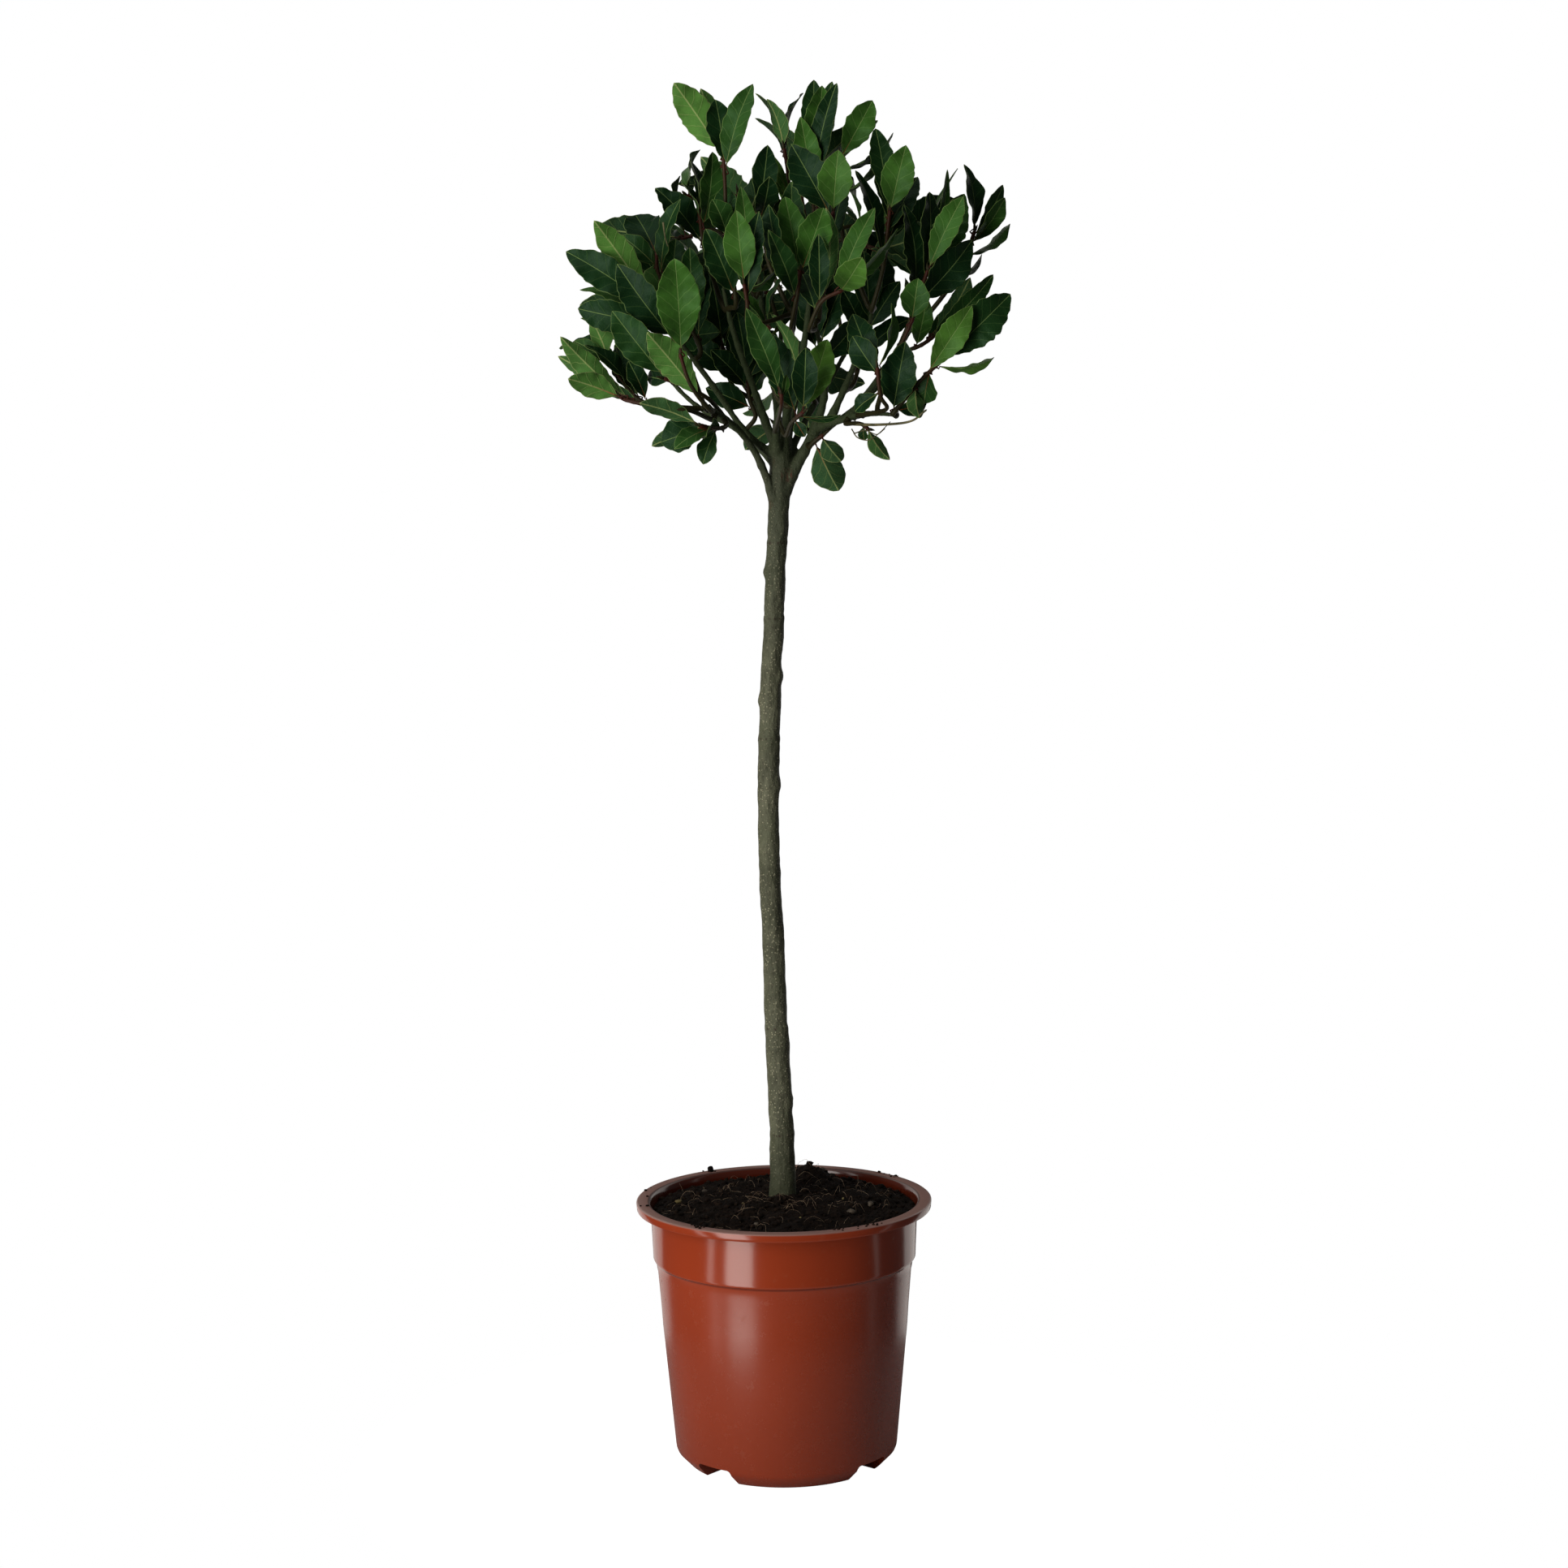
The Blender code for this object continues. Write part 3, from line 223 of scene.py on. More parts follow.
# Studio in metres; each upright light has its name, bearing from the front, width and power setting
FLOOR_GLOW = 1.0
LIGHTS = (
    ("key_light", -40.0, 0.87, "key"),
    ("edge_light", -67.0, 0.2, "edge"),
    ("rim_light", 87.0, 0.15, "rim"),
    ("back_light_left", -150.0, 1.2, "back"),
    ("back_light_right", 145.0, 1.2, "back"),
)
LIGHT_AIM = Vector((0.0, 0.0, 0.5))
LIGHT_DISTANCE = 2.0
LIGHT_HEIGHT = 3.2
TOP_LIGHT_AT = (-0.7, -0.5, 2.6)

# Trunk: height, sideways bend and radius of its centre line
TRUNK_LINE = (
    (130, -0.5, 10.0), (196, -0.5, 10.4), (206, -0.6, 9.9), (244, -0.9, 9.1), (270, -1.8, 8.9),
    (312, -3.4, 8.8), (342, -4.6, 8.4), (390, -5.5, 8.1), (437, -7.6, 7.9), (487, -8.2, 7.8),
    (507, -7.8, 7.9), (538, -7.0, 7.9), (569, -5.6, 7.8), (587, -4.8, 7.7), (627, -2.4, 7.5),
    (663, -0.8, 7.5), (701, 1.7, 7.5), (726, 3.2, 8.2), (748, 4.4, 8.0), (760, 5.4, 5.5),
)
TRUNK_SIDES = 8
# Knots: height, bearing in degrees from +X, and how far they stand out
KNOTS = (
    (663, 200, 2.6), (587, -15, 2.2), (569, 185, 2.6), (507, 0, 2.4),
    (312, 250, 1.4), (270, -5, 2.0), (627, 90, 1.2), (538, 300, 1.2),
)
KNOT_SPREAD = 6.0

# Limbs: radius at the root and at the end, then the points of the centre line
LIMBS = (
    (3.6, 2.3, ((-1, -3, 716), (-10, -9, 740), (-18, -14, 755), (-30, -30, 769), (-47, -66, 780))),
    (3.2, 2.0, ((1, 0, 746), (-21, -9, 764), (-46, -18, 800), (-74, -30, 838))),
    (3.6, 2.0, ((2, -3, 748), (-13, -14, 790), (-28, -22, 832), (-36, -24, 866))),
    (3.6, 2.2, ((1, -4, 750), (1, -24, 768), (5, -46, 783))),
    (4.2, 2.2, ((6, -1, 748), (10, -14, 785), (12, -34, 815), (14, -58, 846))),
    (5.4, 2.0, ((6, -1, 722), (20, -3, 748), (31, -8, 766), (52, -26, 773), (70, -46, 775), (86, -58, 773))),
    (3.6, 2.1, ((28, -7, 762), (36, -14, 790), (34, -30, 820), (29, -56, 838))),
    (3.4, 2.0, ((38, -13, 768), (53, -18, 800), (66, -28, 832), (71, -38, 850))),
    (3.0, 2.0, ((54, -28, 773), (74, -30, 800), (92, -33, 826), (101, -38, 838))),
    (3.4, 1.8, ((3, 2, 746), (-12, 20, 782), (-32, 44, 818), (-50, 62, 848))),
    (3.4, 1.8, ((5, 2, 748), (8, 26, 786), (6, 54, 822), (4, 76, 852))),
    (3.4, 1.8, ((8, 1, 744), (25, 20, 778), (46, 44, 812), (62, 62, 842))),
    (3.8, 1.8, ((4, 1, 750), (0, 10, 800), (-8, 16, 850), (-12, 14, 902))),
    (3.8, 1.8, ((7, 1, 750), (17, 8, 800), (25, 12, 850), (30, 6, 900))),
    (3.0, 1.8, ((0, 1, 742), (-26, 16, 766), (-58, 28, 786), (-84, 36, 812))),
    (3.2, 1.8, ((10, 1, 742), (40, 20, 768), (68, 34, 790), (90, 42, 815))),
)
LIMB_SIDES = 4

# The sprays of the best side are laid out as they look from here, where the camera stands
EYE = Vector((3.65, -2000.0, 684.0))
CAMERA_LENS = 62.6
CAMERA_DOWN = 5.05
CAMERA_ROLL = -0.66

# Each spray: the points of its twig (across, depth, up), then its leaves, each one's place along the
# twig, where its tip is seen (across, up), how far it leans forward, its width, its turn in degrees and
# its tone from 0, darkest, to 4, palest. The dark tones are partly the leaves' own colour and partly
# painted shade on the leaves that hang deep in the head. At a turn of 0 the leaf shows its upper face to the
# front.
FRONT_SPRAYS = (
    ("top_left", ((-27, -35, 859), (-33, -42, 900), (-34, -46, 943), (-35, -46, 965)), (
        (1.00, -70, 1015, 4, 25, 172, 4), (1.00, -51, 1011, -14, 18, 160, 3.2),
        (0.98, -40, 1003, -2, 22, 15, 1.2), (0.95, -14, 1014, 6, 20, -60, 2.4),
        (0.45, -43, 932, 8, 20, 25, 2.2), (0.45, -34, 943, -4, 18, -45, 1.8),
        (0.02, -48, 911, 10, 23, 10, 1.3))),
    ("left_top", ((-40, -15, 865), (-50, -18, 900), (-53, -20, 926)), (
        (1.00, -59, 960, -6, 16, 70, 1), (1.00, -50, 952, -25, 16, 20, 1.6), (0.98, -64, 944, 4, 14, 80, 1),
        (0.55, -84, 941, 0, 24, 35, 1), (0.75, -43, 966, 20, 19, 30, 2.3))),
    ("left", ((-51, -60, 784), (-64, -62, 819), (-79, -62, 842), (-87, -58, 858)), (
        (1.00, -129, 918, 10, 22, 175, 4), (0.97, -150, 897, -4, 25, 10, 1.2),
        (0.60, -113, 886, 16, 27, -10, .8), (0.85, -140, 870, -16, 16, 50, 2.6),
        (0.80, -142, 855, -6, 24, -10, 1.2))),
    ("left_inner", ((-55, -22, 830), (-72, -25, 861), (-83, -26, 880), (-84, -27, 894)), (
        (1.00, -99, 921, -34, 28, 15, .8), (0.85, -110, 907, -4, 17, 20, 2),
        (0.75, -68, 933, 8, 18, -50, 1.4), (0.15, -60, 898, 6, 21, 5, 1.8),
        (0.00, -49, 886, 0, 16, -15, .8))),
    ("left_front", ((-48, -80, 782), (-57, -92, 793), (-63, -98, 804), (-68, -102, 821)), (
        (1.00, -71, 890, 16, 31, 5, 3), (0.12, -92, 837, 22, 24, 170, 3.6))),
    ("far_left", ((-77, -72, 784), (-97, -64, 788), (-112, -60, 804), (-121, -58, 819)), (
        (1.00, -134, 850, 4, 18, 150, 3.4), (0.95, -145, 832, -6, 12, 40, 2.4),
        (0.45, -137, 830, 6, 20, 60, .9), (0.45, -116, 828, -8, 18, -30, 1),
        (0.40, -106, 817, 2, 15, 20, 1))),
    ("low_left", ((-62, -84, 781), (-80, -88, 783), (-105, -84, 788), (-112, -83, 791)), (
        (1.00, -150, 805, 12, 19, 165, 3.6), (0.95, -155, 835, -10, 18, 160, 3.4),
        (0.93, -157, 821, -22, 14, 150, 2.8), (0.93, -123, 797, -20, 10, 20, 2))),
    ("left_middle", ((-51, -62, 788), (-65, -70, 796), (-80, -76, 804)), (
        (1.00, -117, 853, -2, 26, -5, 1.9), (0.90, -93, 806, -16, 12, 0, 1))),
    ("bottom_left", ((-38, -62, 768), (-46, -76, 768), (-54, -86, 770)), (
        (1.00, -98, 786, 8, 17, 165, 2.2), (0.90, -83, 758, -4, 25, 15, 1.3),
        (0.95, -90, 755, -18, 16, 150, 1.8), (0.90, -73, 754, 6, 16, 75, 2.3),
        (0.85, -53, 742, 2, 15, 20, 1.9), (0.00, -53, 761, 20, 17, 160, 2))),
    ("front", ((-17, -92, 842), (-19, -100, 858), (-21, -104, 871)), (
        (1.00, -26, 924, 6, 23, -5, 3.1), (0.90, -22, 942, -24, 17, 15, 3),
        (0.90, -10, 922, -6, 20, -55, 1), (0.95, 3, 880, -8, 15, 60, 2.2))),
    ("upper_front", ((-2, -50, 883), (-7, -56, 906), (-11, -60, 922)), (
        (1.00, -3, 970, -6, 19, 10, .9), (1.00, -2, 948, 30, 18, 25, .9))),
    ("top_middle", ((19, -34, 883), (14, -38, 923), (11, -40, 955), (9, -41, 967)), (
        (1.00, -2, 1003, 4, 15, 140, 2.6), (1.00, -10, 1008, -12, 12, 60, 1),
        (0.96, 21, 1010, -8, 20, -40, .5), (0.55, -3, 966, 8, 7, 30, 3.6), (0.52, -4, 955, 14, 7, 60, 3.6),
        (0.50, 4, 958, 4, 7, -30, 3.6))),
    ("middle", ((13, -70, 842), (17, -80, 862), (20, -86, 880)), (
        (1.00, 37, 925, 10, 24, 5, 3), (0.70, -3, 927, 8, 22, -10, .8), (0.45, -4, 909, 20, 18, 40, 1.8),
        (1.00, 9, 933, -4, 20, 10, 3), (0.95, 14, 944, -20, 20, -10, 2))),
    ("upper_right", ((35, -70, 868), (42, -76, 894), (44, -80, 922)), (
        (1.00, 48, 966, 10, 25, -5, 3.2), (0.97, 14, 971, -2, 27, -15, .8),
        (0.45, 52, 938, -22, 16, -20, .9))),
    ("top_right_inner", ((31, -28, 883), (30, -32, 923), (29, -34, 955)), (
        (1.00, 37, 1012, 2, 22, 10, 3), (0.97, 31, 1017, -14, 18, 0, 1.6),
        (0.97, 44, 1015, -18, 18, -20, 2), (0.95, 46, 1012, 4, 17, -55, .8),
        (0.90, 21, 990, 14, 20, 5, 3))),
    ("top_right", ((52, -36, 900), (49, -42, 929), (49, -45, 961)), (
        (1.00, 73, 1001, 6, 21, 5, 3), (0.97, 76, 988, -10, 14, -45, 1.4), (0.95, 89, 976, 2, 16, 70, 2),
        (0.55, 77, 959, 8, 14, 75, 3))),
    ("right_top", ((72, -50, 854), (80, -58, 883), (85, -64, 922)), (
        (1.00, 97, 969, 8, 24, -5, 3.1), (0.97, 75, 981, -10, 18, 15, 1.5), (0.93, 76, 959, -2, 15, 30, 1),
        (0.60, 105, 948, -24, 20, 0, 1), (0.45, 60, 950, -12, 16, 50, 1), (0.80, 95, 929, -8, 12, -30, 1))),
    ("right_front", ((91, -55, 825), (102, -65, 851), (112, -74, 879)), (
        (1.00, 138, 932, 8, 19, -15, 2.9), (0.98, 113, 936, 0, 22, 5, .8),
        (1.00, 139, 934, -16, 24, 10, 2.2), (0.75, 97, 927, 4, 23, 5, .8), (0.80, 145, 901, 2, 27, 0, .9),
        (0.95, 126, 951, -28, 10, 40, 2.4), (0.95, 134, 952, -34, 10, -40, 2.4))),
    ("far_right_top", ((107, -32, 842), (126, -42, 865), (139, -48, 886), (146, -48, 907)), (
        (1.00, 140, 955, 4, 19, 35, 1.2), (1.00, 167, 940, -10, 14, 30, 2),
        (0.97, 168, 931, 4, 16, 40, 2.5), (0.75, 172, 912, 4, 16, 65, 2.6),
        (0.50, 152, 890, -4, 14, 75, 1))),
    ("right", ((86, -64, 777), (103, -72, 797), (111, -76, 805), (121, -78, 814)), (
        (1.00, 172, 862, -4, 28, 5, 1.5), (0.90, 144, 854, 12, 21, -15, 3.4),
        (1.00, 160, 815, 2, 18, 70, 3.6), (0.95, 109, 784, -12, 20, 20, 2.2),
        (0.50, 105, 773, 6, 14, 150, 2.6), (0.02, 95, 828, 12, 26, -5, 1),
        (0.05, 111, 785, -8, 14, 20, 1))),
    ("right_inner", ((80, -40, 801), (92, -46, 819), (107, -50, 826), (116, -52, 832)), (
        (1.00, 143, 874, 4, 19, 150, 2.2), (1.00, 159, 874, -10, 16, 20, 2),
        (0.97, 147, 862, -6, 14, -20, 1.8), (0.80, 111, 859, 26, 15, 10, 2.8))),
    ("right_middle", ((83, -72, 807), (92, -80, 825), (101, -86, 845)), (
        (1.00, 105, 874, 6, 21, 0, 2.7), (0.85, 95, 874, -8, 12, 60, .9))),
    ("middle_right", ((26, -86, 839), (35, -94, 858), (50, -98, 866)), (
        (1.00, 65, 890, 34, 22, 10, 3.4), (1.00, 74, 925, -6, 17, -20, 2.8),
        (0.97, 90, 910, -14, 14, 60, 3), (0.45, 33, 906, 2, 15, 5, .9), (0.95, 40, 924, -14, 14, 140, 3),
        (0.40, 19, 887, -22, 16, 10, .9))),
    ("front_low", ((0, -30, 765), (2, -60, 772), (5, -90, 784), (5, -96, 792)), (
        (1.00, -20, 854, 8, 19, 10, 2.2), (0.98, 9, 806, 0, 6, 30, 3))),
    ("front_pair", ((8, -40, 762), (12, -66, 771), (21, -92, 779)), (
        (0.97, -2, 835, 10, 23, -5, 1), (1.00, 23, 825, 8, 19, 5, .9), (1.00, 39, 831, -10, 23, 10, 3.7),
        (0.95, 22, 761, 0, 10, 10, 1), (1.00, 48, 776, 4, 9, 60, 1.8))),
    ("front_inner", ((12, -50, 784), (15, -58, 798), (18, -62, 810)), (
        (1.00, -2, 850, 2, 16, 140, 2.8), (1.00, 30, 862, -8, 18, 10, .8))),
    ("front_left_inner", ((-2, -45, 801), (-3, -55, 822), (-4, -60, 841)), (
        (1.00, 6, 875, 6, 16, -45, 1.4), (1.00, -26, 867, 10, 10, 60, 2.8), (0.90, 17, 869, 0, 9, 30, 2))),
    ("low_right", ((81, -74, 780), (77, -86, 790), (75, -92, 810)), (
        (1.00, 87, 856, 6, 15, 65, 2.8), (1.00, 57, 833, -4, 20, -10, .9), (0.90, 57, 850, -20, 20, 20, 1),
        (0.50, 58, 779, -6, 14, 30, 1))),
    ("under_right", ((28, -16, 757), (35, -20, 762)), (
        (0.10, 46, 721, 10, 25, 170, 1.9), (1.00, 48, 743, 12, 17, 160, 1.8))),
    ("under_right_out", ((62, -46, 770), (68, -50, 766)), (
        (1.00, 83, 743, 2, 13, 150, 2.6), (0.95, 65, 758, -6, 8, 20, 1.8))),
    ("inner_left", ((-30, 14, 798), (-35, 16, 812), (-38, 18, 830)), (
        (1.00, -46, 881, 4, 25, 15, .8), (0.90, -20, 868, 0, 23, -20, 1), (0.75, -68, 856, -8, 24, 30, .9),
        (0.50, -14, 838, -6, 20, -30, .7), (0.30, -62, 833, 6, 21, 20, .8))),
    ("inner_right", ((28, 16, 796), (31, 18, 812), (34, 20, 830)), (
        (1.00, 28, 884, 4, 24, 15, .8), (0.90, 54, 876, 0, 23, -25, .9), (0.75, 10, 868, -8, 22, 40, 1),
        (0.50, 62, 846, -6, 22, 30, .8), (0.30, 8, 832, 6, 20, -30, .9))),
    ("inner_low", ((-14, 12, 776), (-18, 15, 788), (-20, 17, 806)), (
        (1.00, -26, 850, 2, 22, 10, .8), (0.85, 0, 838, -4, 22, -25, .9), (0.65, -46, 824, 4, 20, 25, .7),
        (0.40, -4, 812, -6, 20, -35, .9), (0.20, -50, 797, 0, 20, 30, .8))),
    ("inner_far_right", ((58, 0, 800), (64, 4, 822), (70, 6, 842)), (
        (1.00, 66, 894, 4, 22, 10, .8), (0.85, 92, 872, 0, 20, -20, .9), (0.70, 50, 866, -8, 22, 30, .8),
        (0.45, 100, 846, -6, 18, -40, .7), (0.20, 60, 838, 6, 18, 20, .9))),
    ("side_left_upper", ((-60, 2, 838), (-74, 4, 850), (-80, 5, 862)), (
        (1.00, -104, 908, -10, 25, 40, 1.4), (0.90, -120, 888, 6, 24, 60, 1),
        (0.75, -70, 905, -14, 24, -20, 2), (0.60, -118, 864, -8, 24, 70, .9),
        (0.30, -58, 872, 10, 22, -60, 1.2))),
    ("side_left", ((-84, 34, 812), (-98, 38, 818), (-113, 40, 820)), (
        (1.00, -156, 827, -6, 24, 60, 1.6), (0.90, -146, 812, -30, 22, 110, 1.2),
        (0.80, -140, 848, 12, 23, 75, 2), (0.60, -122, 856, -24, 24, 95, 1))),
    ("under_left", ((2, 14, 764), (0, 24, 770)), (
        (1.00, -22, 752, -12, 20, 150, 1.8), (0.90, 14, 752, -14, 18, 150, .9))),
)

# The other sprays follow a rule: even bearings over the back and the sides of the round head
HEAD_CENTRE = Vector((0.0, 0.0, 868.0))
HEAD_R = Vector((156.0, 125.0, 132.0))
HEAD_TOP = 1004.0
RULE_BEARINGS = 41
RULE_SPRAYS = 26
RULE_LEAVES = 5
RULE_SEED = 11
TWIG_REACH = 0.60
REACH_SPREAD = (0.86, 1.08)
TWIG_MIDDLE = 0.35
TWIG_LIFT = 5.0
TWIG_SWAY = 3.0
UPWARD = 0.25
LEAFY_SHARE = 0.64
LEAF_OPENS = (26, 40)
LEAF_OPENS_LOW = 48
LEAF_BEARING_SWAY = 0.3
LEAF_LENGTHS = (58, 70)
TIP_LEAF_SHARE = 0.92
TOP_SPREAD = 12
LEAF_WIDTHS = (25, 30)
LEAF_TURNS = (-20, 20)
RULE_FRONT = -0.34
RULE_DEPTH = -6.0
RULE_LOWEST = -0.62
RULE_TONES = (0.5, 3.0)

# Gaps that stay open from the front: across from, across to, up from, up to
OPEN_VIEWS = (
    (-31, -17, 938, 1030), (104, 125, 942, 1030), (64, 80, 912, 955), (-50, -29, 806, 826),
    (68, 92, 824, 850), (-200, -60, 600, 776), (-145, -86, 922, 1030), (-145, -62, 950, 1030),
    (148, 165, 945, 1030), (-200, -118, 700, 780), (122, 200, 700, 808), (60, 140, 600, 768),
    (-26, 32, 600, 752),
)

# Leaves and twigs as the frame has them
FINE_LENGTH = 45.0
PETIOLE_SHARE = 0.12
PETIOLE_R = 0.65
KNEE_OUT = 2.6
KNEE_ON = 0.6
KNEE_ANGLE = 60.0
RIB_HALF = 0.55
LEAF_ARCH = 0.075
LEAF_FOLD = 0.22
LEAF_WAVE = 0.06
FINE_STATIONS = (0.34, 0.60, 0.83)
PLAIN_STATIONS = (0.40, 0.76)
TWIG_ROOT_R = 1.9
TWIG_END_R = 1.5
TWIG_SIDES = 4
LEAF_SPACING = 5.0
FOOT_SINK = 1.8
TWIG_BEND = 80.0
LEAF_DRAWN = 1.12
SPARE = 1.2
ROOT_STEPS = 7
ROOT_TRIES = 24
ROOT_OUT = 3.0
ROOT_LEANS = (0.0, 0.9)
BENDS = (0.0, 3.0, 6.0, 10.0)
SHIFTS = (0, 5, -5, 10, -10, 15, -15, 21, -21, 28, -28, 36, -36)
TURNS = (0, 18, -18, 36, -36)


# The plan of the head


def angles(count):
    """Angles in even steps all round."""
    return [2 * math.pi * index / count for index in range(count)]


def hump(distance, width):
    """1 where a distance is 0, and less and less past a width."""
    return math.exp(-((distance / width) ** 2))


def steps_of(path):
    """The lengths of a path's straight parts."""
    return [(after - before).length for before, after in zip(path, path[1:])]


def loft(rings):
    """Points and triangles of a closed skin over rings; three points may meet four, the last may be one."""
    points = [point for ring in rings for point in ring]
    sides = len(rings[0])
    faces = [tuple(reversed(range(sides)))]
    start = 0
    for ring, after in zip(rings, rings[1:]):
        step = start + sides
        if len(after) > sides:
            faces.append((start, step + sides, step))
            faces.append((start, start + sides - 1, step + sides))
            faces.append((start + sides - 1, step + sides - 1, step + sides))
        for side in range(sides - 1 if len(after) > sides else sides):
            turn = (side + 1) % sides
            if len(after) == 1:
                faces.append((start + side, start + turn, step))
            elif side % 2 == 0:
                faces.append((start + side, start + turn, step + turn))
                faces.append((start + side, step + turn, step + side))
            else:
                faces.append((start + side, start + turn, step + side))
                faces.append((start + turn, step + turn, step + side))
        start = step
        sides = len(after)
    if len(rings[-1]) > 1:
        faces.append(tuple(range(start, start + sides)))
    return points, faces


def ring_round(centre, along, radius, sides):
    """A ring of points round a centre, square to the direction along."""
    guide = Vector((0.0, 1.0, 0.0)) if abs(along.y) < 0.8 else Vector((1.0, 0.0, 0.0))
    side = along.cross(guide).normalized()
    up = side.cross(along).normalized()
    ring = []
    for angle in angles(sides):
        ring.append(centre + side * (radius * math.cos(angle)) + up * (radius * math.sin(angle)))
    return ring


def tube(path, root_r, end_r, sides, past=2.2):
    """Rings along a path whose radius tapers evenly, ending in a point past it, or flat if past is 0."""
    rings = []
    for index, point in enumerate(path):
        before = path[max(index - 1, 0)]
        after = path[min(index + 1, len(path) - 1)]
        share = index / (len(path) - 1)
        radius = root_r + (end_r - root_r) * share
        rings.append(ring_round(point, (after - before).normalized(), radius, sides))
    if past:
        rings.append([path[-1] + (path[-1] - path[-2]).normalized() * (past * end_r)])
    return rings


def along_path(path, share):
    """The point at a share of a path's length."""
    lengths = steps_of(path)
    left = share * sum(lengths)
    for start, end, length in zip(path, path[1:], lengths):
        if left <= length:
            return start.lerp(end, left / length)
        left -= length
    return path[-1].copy()


def trunk_rings():
    """Rings up the trunk, with its knots standing out of them."""
    rings = []
    for height, bend, radius in TRUNK_LINE:
        ring = []
        for angle in angles(TRUNK_SIDES):
            out = radius
            for knot_height, bearing, proud in KNOTS:
                near = hump(height - knot_height, KNOT_SPREAD)
                facing = max(0.0, math.cos(angle - math.radians(bearing))) ** 4
                out += proud * near * facing
            ring.append(Vector((bend + out * math.cos(angle), out * math.sin(angle), height)))
        rings.append(ring)
    return rings


@dataclass
class Leaf:
    """A leaf from its foot on the twig to its tip, with the side that its upper face looks to."""

    share: float
    tip: Vector
    facing: Vector
    width: float
    turn: float
    give: Vector
    fine: bool
    tone: float
    foot: Vector = None
    stem: Vector = None

    def stand_on(self, twig):
        """Sets the foot on the centre line of the twig, which runs on along stem."""
        share = min(self.share, 1.0 - FOOT_SINK / sum(steps_of(twig)))
        self.foot = along_path(twig, share)
        before = along_path(twig, max(0.0, share - 0.04))
        after = along_path(twig, min(1.0, share + 0.04))
        self.stem = (after - before).normalized()

    def moved(self, shift, turn):
        """The leaf turned, and with its tip pushed the way that it may give, drawn out only a little."""
        tip = self.tip + self.give * shift
        length = (self.tip - self.foot).length
        tip = self.foot + (tip - self.foot) * min(1.0, length * LEAF_DRAWN / (tip - self.foot).length)
        return replace(self, tip=tip, turn=turn + self.turn)

    def frame(self):
        """The leaf's own directions: along it, across it and out of its upper face."""
        along = (self.tip - self.foot).normalized()
        facing = self.facing - along * self.facing.dot(along)
        if facing.length < 0.05:
            facing = along.orthogonal()
        up = Matrix.Rotation(math.radians(self.turn), 3, along) @ facing.normalized()
        return along, along.cross(up), up

    def knee(self, along):
        """The way that the stalk leaves the twig before it bends, or nothing if it needs no bend."""
        out = along - self.stem * along.dot(self.stem)
        return out.normalized() if 0.05 < out.length < math.sin(math.radians(KNEE_ANGLE)) else None

    def stalk_rings(self, spare):
        """Three-sided rings of the stalk: it leaves the twig squarely and bends into the blade."""
        along, across, up = self.frame()
        out = self.knee(along)
        centres = [(self.foot, 0.0)]
        if out:
            centres = [(self.foot, 1.0), (self.foot + out * KNEE_OUT + along * KNEE_ON, 0.5)]
        rings = []
        for centre, share in centres:
            bend = Quaternion().slerp(along.rotation_difference(out), share) if share else Quaternion()
            side = bend @ across
            top = bend @ up
            half = PETIOLE_R + spare
            under = centre - top * (RIB_HALF + 0.5 * spare)
            rings.append([under - side * half, centre + top * half, under + side * half])
        return rings

    def rings(self, spare):
        """Rings of left edge, rib top, right edge and rib underside, then the tip."""
        along, across, up = self.frame()
        length = (self.tip - self.foot).length
        arch = LEAF_ARCH * length
        rings = []
        for index, share in enumerate(FINE_STATIONS if self.fine else PLAIN_STATIONS):
            centre = self.foot + along * (share * length) + up * (arch * math.sin(math.pi * share))
            blade = (share - PETIOLE_SHARE) / (1 - PETIOLE_SHARE)
            half = 0.5 * self.width * math.sin(math.pi * blade**0.9) ** 0.9 + spare
            wave = LEAF_WAVE * self.width * (-1 if index % 2 else 1)
            fold = LEAF_FOLD * (half - PETIOLE_R)
            rib = RIB_HALF + 0.5 * spare
            rings.append([
                centre - across * half + up * (fold + wave),
                centre + up * rib,
                centre + across * half + up * (fold - wave),
                centre - up * rib,
            ])
        rings.append([self.tip + along * (spare * 0.5)])
        return rings


def tree_of(skin):
    """A search tree of a skin's faces, which finds what crosses them."""
    return BVHTree.FromPolygons(*skin)


def box_round(points):
    """The lowest and the highest corner of the box round points."""
    return [Vector([pick(point[axis] for point in points) for axis in range(3)]) for pick in (min, max)]


class Guard:
    """Keeps what is placed, to tell whether something new would cross it."""

    def __init__(self):
        self.placed = []

    def add(self, owner, whole, blade=None):
        self.placed.append((owner, *box_round(whole[0]), tree_of(whole), tree_of(blade) if blade else None))

    def clear(self, owner, whole, blade=None):
        """Whether a skin misses the others' skins, and its blade the blades of its own spray."""
        low, high = box_round(whole[0])
        trees = (tree_of(whole), tree_of(blade) if blade else None)
        for other, its_low, its_high, its_whole, its_blade in self.placed:
            if any(low[axis] > its_high[axis] or high[axis] < its_low[axis] for axis in range(3)):
                continue
            if other != owner and trees[0].overlap(its_whole):
                return False
            if other == owner and trees[1] and its_blade and trees[1].overlap(its_blade):
                return False
        return True


def seen(across, depth, up):
    """The point at this depth that looks from EYE as if it lay over the pot's axis."""
    share = (depth - EYE.y) / -EYE.y
    return Vector((EYE.x + (across - EYE.x) * share, depth, EYE.z + (up - EYE.z) * share))


def in_open_view(points):
    """Whether a point is seen from EYE in one of the gaps that stay open."""
    for point in points:
        share = (point.y - EYE.y) / -EYE.y
        across, up = EYE.x + (point.x - EYE.x) / share, EYE.z + (point.z - EYE.z) / share
        if any(left < across < right and low < up < high for left, right, low, high in OPEN_VIEWS):
            return True
    return False


